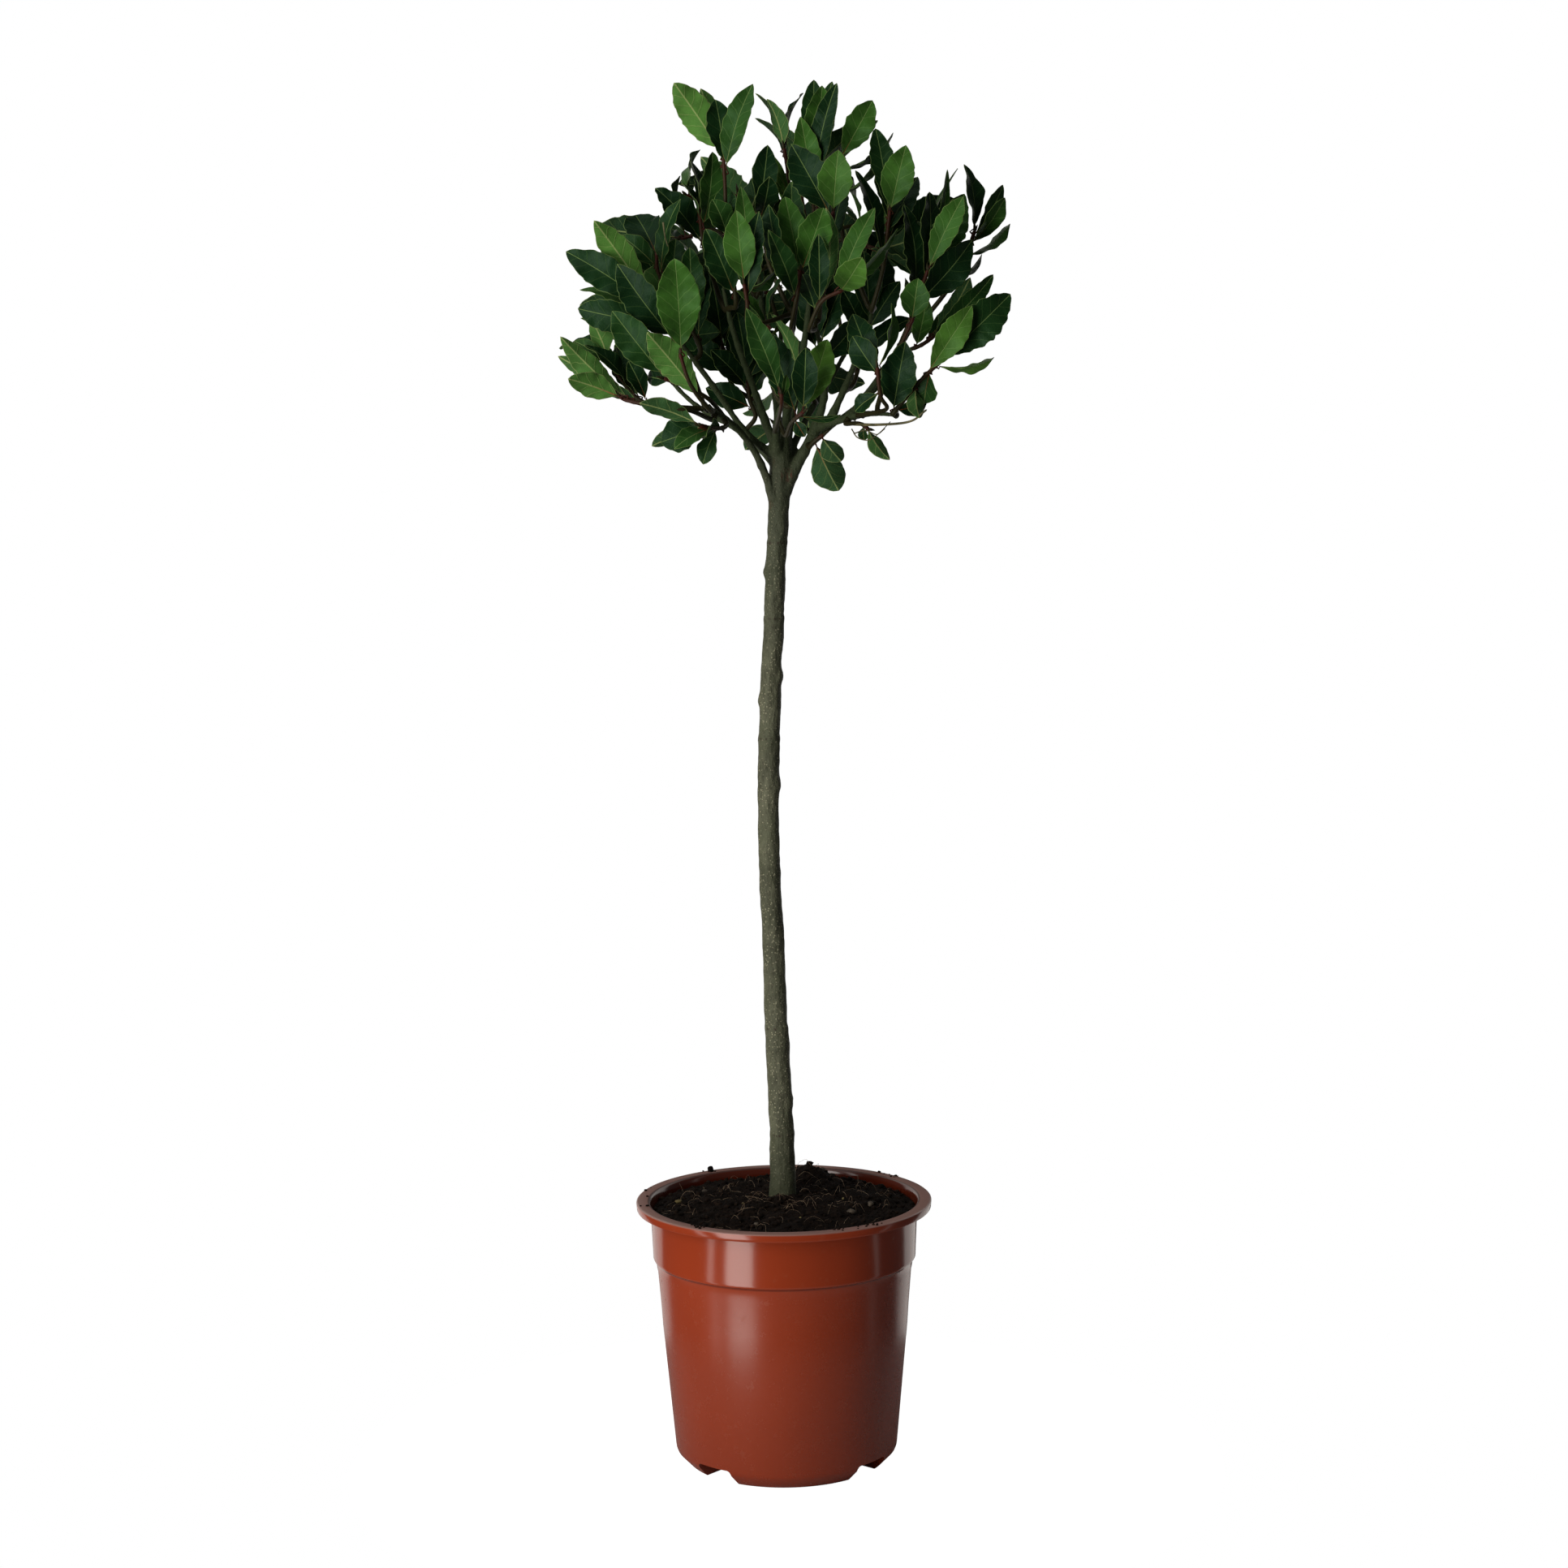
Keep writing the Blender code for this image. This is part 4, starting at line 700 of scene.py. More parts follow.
def twig_roots(target, limbs):
    """Places on the limbs where a twig to a point may start, just off the bark, the nearest first."""
    roots = []
    for path, (root_r, end_r, _) in zip(limbs, LIMBS):
        for step in range(ROOT_STEPS):
            share = 0.3 + 0.7 * step / (ROOT_STEPS - 1)
            point = along_path(path, share)
            along = (along_path(path, min(1.0, share + 0.05)) - along_path(path, share - 0.05)).normalized()
            toward = target - point
            out = toward - along * toward.dot(along)
            if out.length < 0.5:
                out = along.orthogonal()
            out.normalize()
            start = point + out * (root_r + (end_r - root_r) * share + GAP)
            for lean in ROOT_LEANS:
                roots.append((toward.length, [start, start + (out + along * lean).normalized() * ROOT_OUT]))
    roots.sort(key=lambda root: root[0])
    return [points for _, points in roots[:ROOT_TRIES]]


def front_plans():
    """The twig and leaves of each spray on the best side."""
    plans = []
    for name, path, rows in FRONT_SPRAYS:
        points = [seen(*point) for point in path]
        length = sum(steps_of(points))
        leaves = []
        last = 2.0
        for share, across, up, lean, width, turn, tone in sorted(rows, key=lambda row: -row[0]):
            share = max(0.0, min(share, last - LEAF_SPACING / length))
            last = share
            foot = along_path(points, share)
            tip = seen(across, foot.y - lean, up)
            fine = (tip - foot).length > FINE_LENGTH
            facing = (EYE - foot).normalized()
            leaves.append(Leaf(share, tip, facing, width, turn, Vector((0, 1, 0)), fine, tone / 4))
        plans.append((name, points, leaves))
    return plans


def rule_plans(limbs):
    """The twig and leaves of each spray that follows the rule, round the back and the sides."""
    draw = random.Random(RULE_SEED)
    tones = random.Random(RULE_SEED + 1)
    golden = math.pi * (3 - math.sqrt(5))
    plans = []
    for index in range(RULE_BEARINGS):
        rise = 1 - 2 * (index + 0.5) / RULE_BEARINGS
        level = math.sqrt(1 - rise * rise)
        heading = Vector((level * math.cos(golden * index), level * math.sin(golden * index), rise))
        if heading.y < RULE_FRONT or rise < RULE_LOWEST or len(plans) == RULE_SPRAYS:
            continue
        reach = TWIG_REACH * draw.uniform(*REACH_SPREAD)
        end = HEAD_CENTRE + Vector([heading[axis] * HEAD_R[axis] for axis in range(3)]) * reach
        end.y = max(end.y, RULE_DEPTH)
        start = twig_roots(end, limbs)[0][1]
        sway = Vector([draw.uniform(-TWIG_SWAY, TWIG_SWAY) for _ in range(3)])
        twig = [start.lerp(end, TWIG_MIDDLE) + sway + Vector((0, 0, TWIG_LIFT)), end]
        out = (end - start).normalized() + heading * TWIG_REACH + Vector((0, 0, UPWARD))
        out.normalize()
        side = out.orthogonal().normalized()
        leaves = []
        for number in range(RULE_LEAVES):
            share = 1.0 - LEAFY_SHARE * number / RULE_LEAVES
            opens = math.radians(draw.uniform(*LEAF_OPENS) + LEAF_OPENS_LOW * (1 - share))
            bearing = golden * number + draw.uniform(-LEAF_BEARING_SWAY, LEAF_BEARING_SWAY)
            turned = Matrix.Rotation(bearing, 3, out) @ side
            along = out * math.cos(opens) + turned * math.sin(opens) + Vector((0, 0, UPWARD / 2))
            foot = along_path(twig, share)
            length = draw.uniform(*LEAF_LENGTHS) * (TIP_LEAF_SHARE if number == 0 else 1.0)
            tip = foot + along.normalized() * length
            tip.z = min(tip.z, HEAD_TOP - draw.uniform(0, TOP_SPREAD))
            width, turn = draw.uniform(*LEAF_WIDTHS), draw.uniform(*LEAF_TURNS)
            tone = (RULE_TONES[0] + (RULE_TONES[1] - RULE_TONES[0]) * tones.random() ** 1.8) / 4
            leaves.append(Leaf(share, tip, out, width, turn, out, False, tone))
        plans.append((f"back_{len(plans) + 1:02d}", twig, leaves))
    return plans


def sharpest_bend(path):
    """The largest angle in degrees between parts of a path that follow each other."""
    steps = [after - before for before, after in zip(path, path[1:])]
    return max(math.degrees(before.angle(after)) for before, after in zip(steps, steps[1:]))


def clear_twig(guard, name, points, limbs):
    """The twig from a limb through its points, with a root and a bend that cross nothing placed."""
    root_r, end_r = TWIG_ROOT_R + GAP, TWIG_END_R + GAP
    for reach in BENDS:
        for root in twig_roots(points[0], limbs):
            for quarter in range(4 if reach else 1):
                angle = quarter * math.pi / 2
                aside = Vector((math.cos(angle), math.sin(angle), 0.3)) * reach
                twig = root + [point + aside for point in points[:-1]] + points[-1:]
                if sharpest_bend(twig[1:]) > TWIG_BEND:
                    continue
                if guard.clear(name, loft(tube(twig, root_r, end_r, TWIG_SIDES))):
                    return twig
    return None


def place_leaf(guard, name, leaf):
    """The leaf, leaned or turned until it is clear of all that is placed, or nothing."""
    for shift in SHIFTS:
        for turn in TURNS:
            tried = leaf.moved(shift, turn)
            rings = tried.rings(SPARE)
            if leaf.give.z and in_open_view([point for ring in rings for point in ring]):
                continue
            whole = loft(tried.stalk_rings(SPARE) + rings)
            blade = loft(rings)
            if guard.clear(name, whole, blade):
                guard.add(name, whole, blade)
                return tried
    return None


def plan_crown():
    """Every spray's twig and leaves, each clear of the trunk and of the others."""
    limbs = [[Vector(point) for point in points] for _, _, points in LIMBS]
    guard = Guard()
    guard.add("trunk", loft(trunk_rings()))
    for path, (root_r, end_r, _) in zip(limbs, LIMBS):
        guard.add("trunk", loft(tube(path, root_r, end_r, LIMB_SIDES)))
    sprays = []
    for plans in (front_plans(), rule_plans(limbs)):
        standing = []
        for name, points, leaves in plans:
            twig = clear_twig(guard, name, points, limbs)
            if twig:
                guard.add(name, loft(tube(twig, TWIG_ROOT_R, TWIG_END_R, TWIG_SIDES, past=0.0)))
                standing.append((name, twig, leaves))
        for name, twig, leaves in standing:
            for leaf in leaves:
                leaf.stand_on(twig[2:])
            placed = [place_leaf(guard, name, leaf) for leaf in leaves]
            sprays.append((name, twig, [leaf for leaf in placed if leaf]))
    return sprays


# Fine meshes


def spread(value, count):
    """A value for each of a count, or the list of values that it already is."""
    return value if isinstance(value, list) else [value] * count


def linked(name, mesh):
    """An object of a mesh or a lamp, put into the scene."""
    thing = bpy.data.objects.new(name, mesh)
    bpy.context.scene.collection.objects.link(thing)
    return thing


class Skin:
    """Points, faces and what each point is like, gathered for one object."""

    def __init__(self):
        self.points, self.faces, self.slots, self.blade, self.look = [], [], [], [], []

    def add(self, points, faces, look=PLAIN_LOOK, slot=UPPER, blade=OFF_BLADE):
        start = len(self.points)
        self.points.extend(points)
        self.faces.extend([tuple(start + corner for corner in face) for face in faces])
        self.slots.extend(spread(slot, len(faces)))
        self.look.extend(spread(look, len(points)))
        self.blade.extend(spread(blade, len(points)))

    def build(self, name, materials):
        """A smooth object from all that was added, its measures kept as attributes."""
        mesh = bpy.data.meshes.new(name)
        mesh.from_pydata([tuple(point) for point in np.array(self.points) * MM], [], self.faces)
        for material in materials:
            mesh.materials.append(material)
        mesh.polygons.foreach_set("material_index", self.slots)
        for title, values in (("blade", self.blade), ("look", self.look)):
            layer = mesh.attributes.new(title, "FLOAT_VECTOR", "POINT")
            layer.data.foreach_set("vector", np.array(values, dtype=np.float32).ravel())
        mesh.shade_smooth()
        mesh.update()
        return linked(name, mesh)


def hand_over(piece, slot, *nodes):
    """Tells the frame what a piece rides on, and the nodes it stands for; slot, its finish, is not used."""
    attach(piece, "root")
    if nodes:
        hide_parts(*nodes)


def smooth_path(points, step):
    """Points about a step apart on a smooth curve through the given points."""
    line = [2 * points[0] - points[1], *points, 2 * points[-1] - points[-2]]
    path = []
    for before, start, end, after in zip(line, line[1:], line[2:], line[3:]):
        count = max(1, round((end - start).length / step))
        for index in range(count):
            t = index / count
            path.append(0.5 * (
                2 * start + (end - before) * t
                + (2 * before - 5 * start + 4 * end - after) * t**2
                + (3 * start - before - 3 * end + after) * t**3
            ))
    path.append(points[-1].copy())
    return path


def bands(rings, sides):
    """Four-cornered faces between rings of points that follow each other."""
    faces = []
    for low in range(0, (rings - 1) * sides, sides):
        for number in range(sides):
            turn = (number + 1) % sides
            faces.append((low + number, low + turn, low + sides + turn, low + sides + number))
    return faces


def pipe(path, radii, sides, blunt=False):
    """Points and faces of a round skin along a path, its rings turned as little as can be."""
    points = []
    side = (path[1] - path[0]).orthogonal().normalized()
    for index, centre in enumerate(path):
        along = (path[min(index + 1, len(path) - 1)] - path[max(index - 1, 0)]).normalized()
        side = (side - along * side.dot(along)).normalized()
        up = along.cross(side)
        for angle in angles(sides):
            points.append(centre + (side * math.cos(angle) + up * math.sin(angle)) * radii[index])
    faces = [tuple(reversed(range(sides))), *bands(len(path), sides)]
    last = (len(path) - 1) * sides
    if blunt:
        faces.append(tuple(range(last, last + sides)))
    else:
        points.append(path[-1] + (path[-1] - path[-2]).normalized() * radii[-1] * 1.6)
        tip = len(points) - 1
        faces.extend([(last + number, last + (number + 1) % sides, tip) for number in range(sides)])
    return points, faces


def leaf_half_width(width, share, fullness, belly):
    """Half a blade's width: an ellipse drawn out into a wedge at the stalk and a point at the tip."""
    blade = (share - PETIOLE_SHARE) / (1 - PETIOLE_SHARE)
    if blade <= 0.0 or blade >= 1.0:
        return 0.0
    return 0.5 * width * math.sin(math.pi * blade**belly) ** fullness


def blade_faces(rows):
    """Faces of a blade's upper side, underside and rim, over rows of points across it."""
    wide = len(LEAF_COLUMNS)
    count = (rows + 1) * wide
    upper, under, rim = [], [], []
    for start in range(0, rows * wide, wide):
        for corner in range(start, start + wide - 1):
            face = (corner, corner + 1, corner + wide + 1, corner + wide)
            upper.append(face)
            under.append((count + face[0], count + face[3], count + face[2], count + face[1]))
        for low, high in ((start, start + wide), (start + 2 * wide - 1, start + wide - 1)):
            rim.append((low, high, count + high, count + low))
    for number in range(wide - 1):
        rim.append((number + 1, number, count + number, count + number + 1))
        top = rows * wide + number
        rim.append((top, top + 1, count + top + 1, count + top))
    slots = [UPPER] * len(upper) + [UNDER] * len(under) + [UPPER] * len(rim)
    return upper + under + rim, slots


def add_leaf(skin, leaf, draw):
    """A whole leaf: its stalk, and a thin blade with a channel at the midrib and a waved margin."""
    along, across, up = leaf.frame()
    length = (leaf.tip - leaf.foot).length
    stations = FINE_STATIONS if leaf.fine else PLAIN_STATIONS
    swing = (stations[-1] - stations[0]) / (len(stations) - 1)
    phases = [draw.uniform(0, 2 * math.pi) for _ in range(6)]
    ruffle = draw.uniform(*RUFFLE) * min(1.0, leaf.width / RUFFLE_FULL_WIDTH) ** 2
    ruffle_length = draw.uniform(*RUFFLE_LENGTH)
    scallop = draw.uniform(*SCALLOP)
    scallop_length = draw.uniform(*SCALLOP_LENGTH)
    fullness = draw.uniform(*LEAF_FULLNESS)
    belly = draw.uniform(*LEAF_BELLY)
    bend = draw.uniform(*LEAF_BEND)
    red = 1.0 if draw.random() < RED_STALKS else draw.uniform(0.0, 0.4)
    chance = draw.random()
    first = PETIOLE_SHARE * 0.82
    rows = max(18, round((1 - first) * length / LEAF_STEP))

    def centre(share):
        rise = LEAF_ARCH * length * math.sin(math.pi * share) - bend * length * max(0.0, share - 0.6) ** 2
        return leaf.foot + along * (share * length) + up * rise

    upper, under, blade = [], [], []
    for index in range(rows + 1):
        share = first + (1 - first) * index / rows
        middle, run = centre(share), share * length
        half = leaf_half_width(LEAF_SLIM * leaf.width, share, fullness, belly)
        half = max(half, LEAF_NARROWEST if index < rows else LEAF_POINT)
        broad = min(1.0, half / 6.0)
        sway = LEAF_WAVE * leaf.width * math.cos(math.pi * (share - stations[0]) / swing) * broad
        edges = []
        for phase in phases[:2]:
            turn = 2 * math.pi * run / scallop_length + phase
            lobes = scallop * math.sin(turn + 0.8 * math.sin(0.37 * turn))
            lobes += 0.25 * scallop * math.sin(1.9 * turn)
            edges.append(half * (1.0 + lobes * broad))
        for place in LEAF_COLUMNS:
            off = abs(place)
            side = 0 if place < 0 else 1
            wide = edges[side] * off
            fold = FOLD_MORE * LEAF_FOLD * half * (math.sqrt(off * off + 0.03) - 0.17)
            wavy = ruffle * math.sin(2 * math.pi * run / ruffle_length + phases[2 + side]) * off**2.4
            wavy *= min(1.0, half / 5.0)
            slant = run - VEIN_SLANT * wide**VEIN_CURVE
            quilt = -QUILT * math.cos(2 * math.pi * slant / VEIN_SPACING) * math.sin(math.pi * off)
            lift = fold - place * sway + wavy + quilt * min(1, half / 5)
            point = middle + across * math.copysign(wide, place) + up * lift
            rib = RIB_DEPTH * (1.0 - 0.75 * share) * hump(wide, 0.6)
            thick = LEAF_THICKNESS * (1.0 - 0.35 * off**3)
            upper.append(point + up * (0.5 * thick))
            under.append(point - up * (0.5 * thick + rib))
            blade.append((run, math.copysign(wide, place), edges[side] - wide))
    faces, slots = blade_faces(rows)
    skin.add(upper + under, faces, (leaf.tone, chance, red), slots, blade + blade)
    out = leaf.knee(along)
    knee = [leaf.foot + out * KNEE_OUT + along * KNEE_ON] if out else []
    ends = [centre(PETIOLE_SHARE * 0.6), centre(PETIOLE_SHARE), centre(PETIOLE_SHARE + 0.06)]
    path = smooth_path([point - up * 0.25 for point in (leaf.foot, *knee, *ends)], 1.6)
    radii = [STALK_R * (1.3 - 0.55 * min(1.0, index / 3)) for index in range(len(path) - 1)] + [0.25]
    age = 0.95 - 0.25 * draw.random() if red > 0.4 else 0.62 + 0.12 * draw.random()
    skin.add(*pipe(path, radii, STALK_SIDES, blunt=True), (age, chance, red), SHOOT)


def add_twig(skin, twig, leaves, draw):
    """A twig that grows out of its limb, a little thicker where a leaf stands, with buds at its end."""
    into = twig[0] - (twig[1] - twig[0]).normalized() * TWIG_SINK
    path = smooth_path([into, *twig], 1.8)
    radii = []
    looks = []
    chance = draw.random()
    for index, point in enumerate(path):
        share = index / (len(path) - 1)
        radius = TWIG_ROOT_R + (TWIG_END_R * 0.82 - TWIG_ROOT_R) * share
        near = min([(point - leaf.foot).length for leaf in leaves] + [9.0])
        radii.append(radius * (1.0 + 0.22 * hump(near, 1.5)) + 0.7 * math.exp(-index / 1.2))
        looks += [(0.12 + 0.62 * share, chance, 0.0)] * TWIG_FINE_SIDES
    skin.add(*pipe(path, radii, TWIG_FINE_SIDES), [*looks, looks[-1]], SHOOT)
    for _ in range(2):
        aim = (twig[-1] - twig[-2]).normalized() + Vector([draw.uniform(-0.4, 0.4) for _ in range(3)])
        bud = [twig[-1] + aim * reach for reach, _ in BUD]
        skin.add(*pipe(bud, [radius for _, radius in BUD], 8, blunt=True), (0.55, chance, 0.0), SHOOT)


def lump(centre, size, flat, draw, rounds=1):
    """Points and faces of a rough round bit."""
    work = bmesh.new()
    bmesh.ops.create_icosphere(work, subdivisions=rounds, radius=1.0)
    seed = Vector([draw.uniform(0, 90) for _ in range(3)])
    pole = Vector([draw.uniform(-1, 1) for _ in range(3)]).normalized()
    turn = Quaternion(pole, draw.uniform(0, 6.3)).to_matrix()
    shape = Vector((draw.uniform(0.75, 1.25), draw.uniform(0.75, 1.25), flat))
    points = []
    for corner in work.verts:
        spot = turn @ (corner.co * (1.0 + 0.42 * noise.noise(corner.co * 1.6 + seed)))
        points.append(centre + Vector([spot[axis] * shape[axis] * size for axis in range(3)]))
    faces = [tuple(corner.index for corner in face.verts) for face in work.faces]
    work.free()
    return points, faces


# Pieces


def trunk_line_at(height):
    """The trunk's sideways bend and radius at a height, smoothly between the tabled ones."""
    for (low, bend, radius), (high, next_bend, next_radius) in zip(TRUNK_LINE, TRUNK_LINE[1:]):
        if height <= high:
            break
    share = min(1.0, max(0.0, (height - low) / (high - low)))
    share = share * share * (3 - 2 * share)
    return bend + (next_bend - bend) * share, radius + (next_radius - radius) * share


def fine_trunk():
    """The trunk with its knots, ring scars and uneven bark, grown together with its limbs."""
    skin = Skin()
    points = []
    height = TRUNK_LINE[0][0]
    while height <= TRUNK_LINE[-1][0]:
        bend, radius = trunk_line_at(height)
        for angle in angles(TRUNK_FINE_SIDES):
            out = radius
            for knot_height, bearing, proud in KNOTS:
                off = height - knot_height
                facing = max(0.0, math.cos(angle - math.radians(bearing)))
                out += KNOT_PROUD * proud * facing**5 * hump(off, KNOT_TIGHT * KNOT_SPREAD)
                out -= KNOT_EYE * facing**60 * hump(off, KNOT_EYE_TIGHT * KNOT_SPREAD)
            for scar in RING_SCARS:
                ridge = RIDGE_HEIGHT * hump(height - scar, RIDGE_WIDTH)
                out += ridge - GROOVE_DEPTH * hump(height - scar - GROOVE_ABOVE, GROOVE_WIDTH)
            spot = Vector((math.cos(angle) * 2.0, math.sin(angle) * 2.0, height / 16.0))
            out += 0.75 * noise.noise(spot) + 0.3 * noise.noise(spot * 3.1)
            points.append(Vector((bend + out * math.cos(angle), out * math.sin(angle), height)))
        height += TRUNK_STEP
    sides = TRUNK_FINE_SIDES
    ends = [tuple(reversed(range(sides))), tuple(range(len(points) - sides, len(points)))]
    skin.add(points, ends + bands(len(points) // sides, sides))
    draw = random.Random(LIMB_SEED)
    for root_r, end_r, points in LIMBS:
        path = smooth_path([Vector(point) for point in points], LIMB_STEP)
        radii = []
        for index in range(len(path)):
            share = index / (len(path) - 1)
            run = index * LIMB_STEP + root_r * LIMB_JOINT_SPACING
            joint = LIMB_JOINT * hump((run + 4.0) % LIMB_JOINT_SPACING - 4.0, 1.6)
            end = 1.0 - 0.25 * max(0.0, share - 0.8) / 0.2
            knot = 0.25 * noise.noise(Vector((index * 0.31, root_r * 7.0, draw.random() * 0.2)))
            radius = LIMB_SLIM * (root_r + (end_r - root_r) * share) * (1.0 + joint) * end
            radii.append(radius + LIMB_FLARE * math.exp(-index / 3.0) + knot)
        skin.add(*pipe(path, radii, 12))
    trunk = skin.build("trunk_and_limbs", [])
    remesh = trunk.modifiers.new("grow together", "REMESH")
    remesh.mode = "VOXEL"
    remesh.voxel_size = BARK_VOXEL * MM
    soften = trunk.modifiers.new("soften", "SMOOTH")
    soften.factor = 0.5
    soften.iterations = 3
    apply_modifiers(trunk)
    normals = [corner.normal.copy() for corner in trunk.data.vertices]
    for corner, normal in zip(trunk.data.vertices, normals):
        spot = corner.co / MM
        rough = noise.noise(Vector((spot.x / 2.6, spot.y / 2.6, spot.z / 6.0)))
        corner.co += normal * (BARK_ROUGH * rough * MM)
    trunk.data.shade_smooth()
    return trunk


def bare_bits():
    """Dead stalks that hang between the limbs."""
    skin = Skin()
    for radius, points in DEAD_STALKS:
        path = smooth_path([seen(*point) for point in points], 1.6)
        radii = [radius * (1.0 - 0.4 * index / len(path)) for index in range(len(path))]
        skin.add(*pipe(path, radii, 8), (0.5, 0.0, 0.0))
    return skin


def apply_modifiers(thing):
    """Makes what the modifiers do the object's own mesh."""
    bpy.context.view_layer.update()
    result = bpy.data.meshes.new_from_object(thing.evaluated_get(bpy.context.evaluated_depsgraph_get()))
    thing.modifiers.clear()
    thing.data = result


def turned(name, profile, steps):
    """A turned solid from a profile in millimetres that runs down its outer side."""
    mesh = bpy.data.meshes.new(name)
    points = [Vector((radius, 0.0, height)) * MM for radius, height in profile]
    mesh.from_pydata(points, [(index, index + 1) for index in range(len(points) - 1)], [])
    thing = linked(name, mesh)
    screw = thing.modifiers.new("turn", "SCREW")
    screw.axis = "Z"
    screw.steps = steps
    screw.render_steps = steps
    screw.use_merge_vertices = True
    screw.merge_threshold = 0.00001
    apply_modifiers(thing)
    return thing


def solid_at(name, work, centre, bearing):
    """An object from a mesh in work, moved to a centre and set out at a bearing from +X."""
    mesh = bpy.data.meshes.new(name)
    work.to_mesh(mesh)
    work.free()
    mesh.transform(Matrix.Rotation(math.radians(bearing), 4, "Z") @ Matrix.Translation(Vector(centre) * MM))
    return linked(name, mesh)


def block(name, size, centre, bearing, rounding):
    """A box with rounded corners."""
    work = bmesh.new()
    bmesh.ops.create_cube(work, size=1.0, matrix=Matrix.Diagonal((*(Vector(size) * MM), 1.0)))
    bmesh.ops.bevel(work, geom=work.edges[:], offset=rounding * MM, segments=4, profile=0.5, affect="EDGES")
    return solid_at(name, work, centre, bearing)


def drill(name, radius, centre, bearing):
    """A round bar that cuts a hole through the pot's floor."""
    work = bmesh.new()
    round_ends = {"radius1": radius * MM, "radius2": radius * MM, "cap_ends": True}
    bmesh.ops.create_cone(work, segments=32, depth=DRAIN_DEPTH * MM, **round_ends)
    return solid_at(name, work, centre, bearing)


def cut_with(thing, operation, cutters):
    """Cuts or joins solids one after another; all are closed, which the fast solver needs."""
    for cutter in cutters:
        change = thing.modifiers.new(cutter.name, "BOOLEAN")
        change.operation = operation
        change.object = cutter
        change.solver = "MANIFOLD"
    apply_modifiers(thing)
    for cutter in cutters:
        bpy.data.objects.remove(cutter, do_unlink=True)


def fine_pot():
    """The pot: rolled lip, deep band, a step under it, a long taper, hollow feet and drain holes."""
    pot = turned("nursery_pot", POT_OUTSIDE, POT_FINE_STEPS)
    spacing = 360.0 / NOTCH_COUNT
    reach = 2 * POT_BASE_R
    width = reach * math.sin(math.radians(NOTCH_WIDTH / 2)) + NOTCH_SPARE
    low, high, pads, drains = [], [], [], []
    for index in range(NOTCH_COUNT):
        bearing = NOTCH_FIRST + spacing * index
        size = (reach, width, 2 * POT_FLOOR)
        low.append(block(f"notch_{index}", size, (reach / 2 + NOTCH_OUT, 0.0, 0.0), bearing, NOTCH_ROUNDING))
        size = (reach, width + 2 * POT_WALL, 2 * (POT_FLOOR + POT_WALL))
        centre = (reach / 2 + ROOF_OUT, 0.0, 0.0)
        high.append(block(f"notch_roof_{index}", size, centre, bearing, ROOF_ROUNDING))
        for side in (-PAD_SPREAD, PAD_SPREAD):
            centre = (POT_BASE_R - PAD_INSET, 0.0, PAD_HEIGHT)
            size = (*PAD_SIZE, 2 * PAD_HEIGHT)
            turn = bearing + spacing / 2 + side
            pads.append(block(f"pad_{index}_{side:.0f}", size, centre, turn, PAD_ROUNDING))
    for index in range(DRAIN_COUNT):
        bearing = NOTCH_FIRST + DRAIN_TURN + index * 360.0 / DRAIN_COUNT
        drains.append(drill(f"drain_{index}", DRAIN_R, (DRAIN_RING_R, 0.0, POT_FLOOR), bearing))
    for group, more in ((low, 0.0), (high, POT_WALL)):
        radius, top = POT_FLOOR_R + more, POT_FLOOR + more
        edge = [(0.0, top), (radius - 2.0, top), (radius - 0.6, top - 0.6), (radius, top - 2.0)]
        group.append(turned(f"step_{top:.0f}", (*edge, (radius + 0.8, -5.0), (0.0, -5.0)), 96))
    hollow = turned("hollow", POT_INSIDE, POT_FINE_STEPS)
    cut_with(hollow, "DIFFERENCE", high)
    cut_with(pot, "DIFFERENCE", [*low, hollow])
    cut_with(pot, "UNION", pads)
    cut_with(pot, "DIFFERENCE", drains)
    pot.data.shade_smooth()
    pot.data.set_sharp_from_angle(angle=math.radians(SHARP_FROM))
    return pot


def soil_height(x, y):
    """How high the soil stands at a place: a mound, the clump behind the trunk and an uneven crust."""
    r = math.hypot(x, y)
    mound = SOIL_EDGE + SOIL_MOUND * max(0.0, 1.0 - (r / SOIL_R) ** 2)
    clump = CLUMP_HEIGHT * math.exp(-((x - CLUMP_AT[0]) ** 2 + (y - CLUMP_AT[1]) ** 2) / (2 * CLUMP_R**2))
    crust = 1.3 * math.sin(x / 9.0 + 1.0) * math.cos(y / 11.0) + 0.9 * math.sin(x / 5.1 - y / 6.3)
    rim = min(1.0, max(0.0, (SOIL_R - r) / 12.0))
    spot = Vector((x / 7.0, y / 7.0, 0.0))
    rough = 1.8 * noise.noise(spot) + 1.5 * abs(noise.noise(spot * 2.3)) + 0.6 * noise.noise(spot * 5.7)
    return mound + clump + (crust + rough) * rim


def on_soil(x, y, over):
    """The point a little over the soil at a place."""
    return Vector((x, y, soil_height(x, y) + over))


def fine_soil():
    """The peat's broken top, and the plain sides of the root ball under it."""
    skin = Skin()
    points = []
    sides = SOIL_FINE_SIDES
    inner, outer = SOIL_TOP_RADII
    rings = [(inner + (outer - inner) * index / SOIL_RINGS, None) for index in range(SOIL_RINGS + 1)]
    for radius, height in (*rings, *ROOT_BALL):
        for angle in angles(sides):
            x, y = radius * math.cos(angle), radius * math.sin(angle)
            points.append(on_soil(x, y, 0.0) if height is None else Vector((x, y, height)))
    rows = len(points) // sides
    sheets = [(a, d, c, b) for a, b, c, d in bands(rows, sides)]
    faces = [tuple(range((rows - 1) * sides, rows * sides)), *sheets, tuple(range(sides))]
    skin.add(points, faces, [(0.25 * noise.noise(point / 14.0), 0.0, 0.0) for point in points])
    return skin


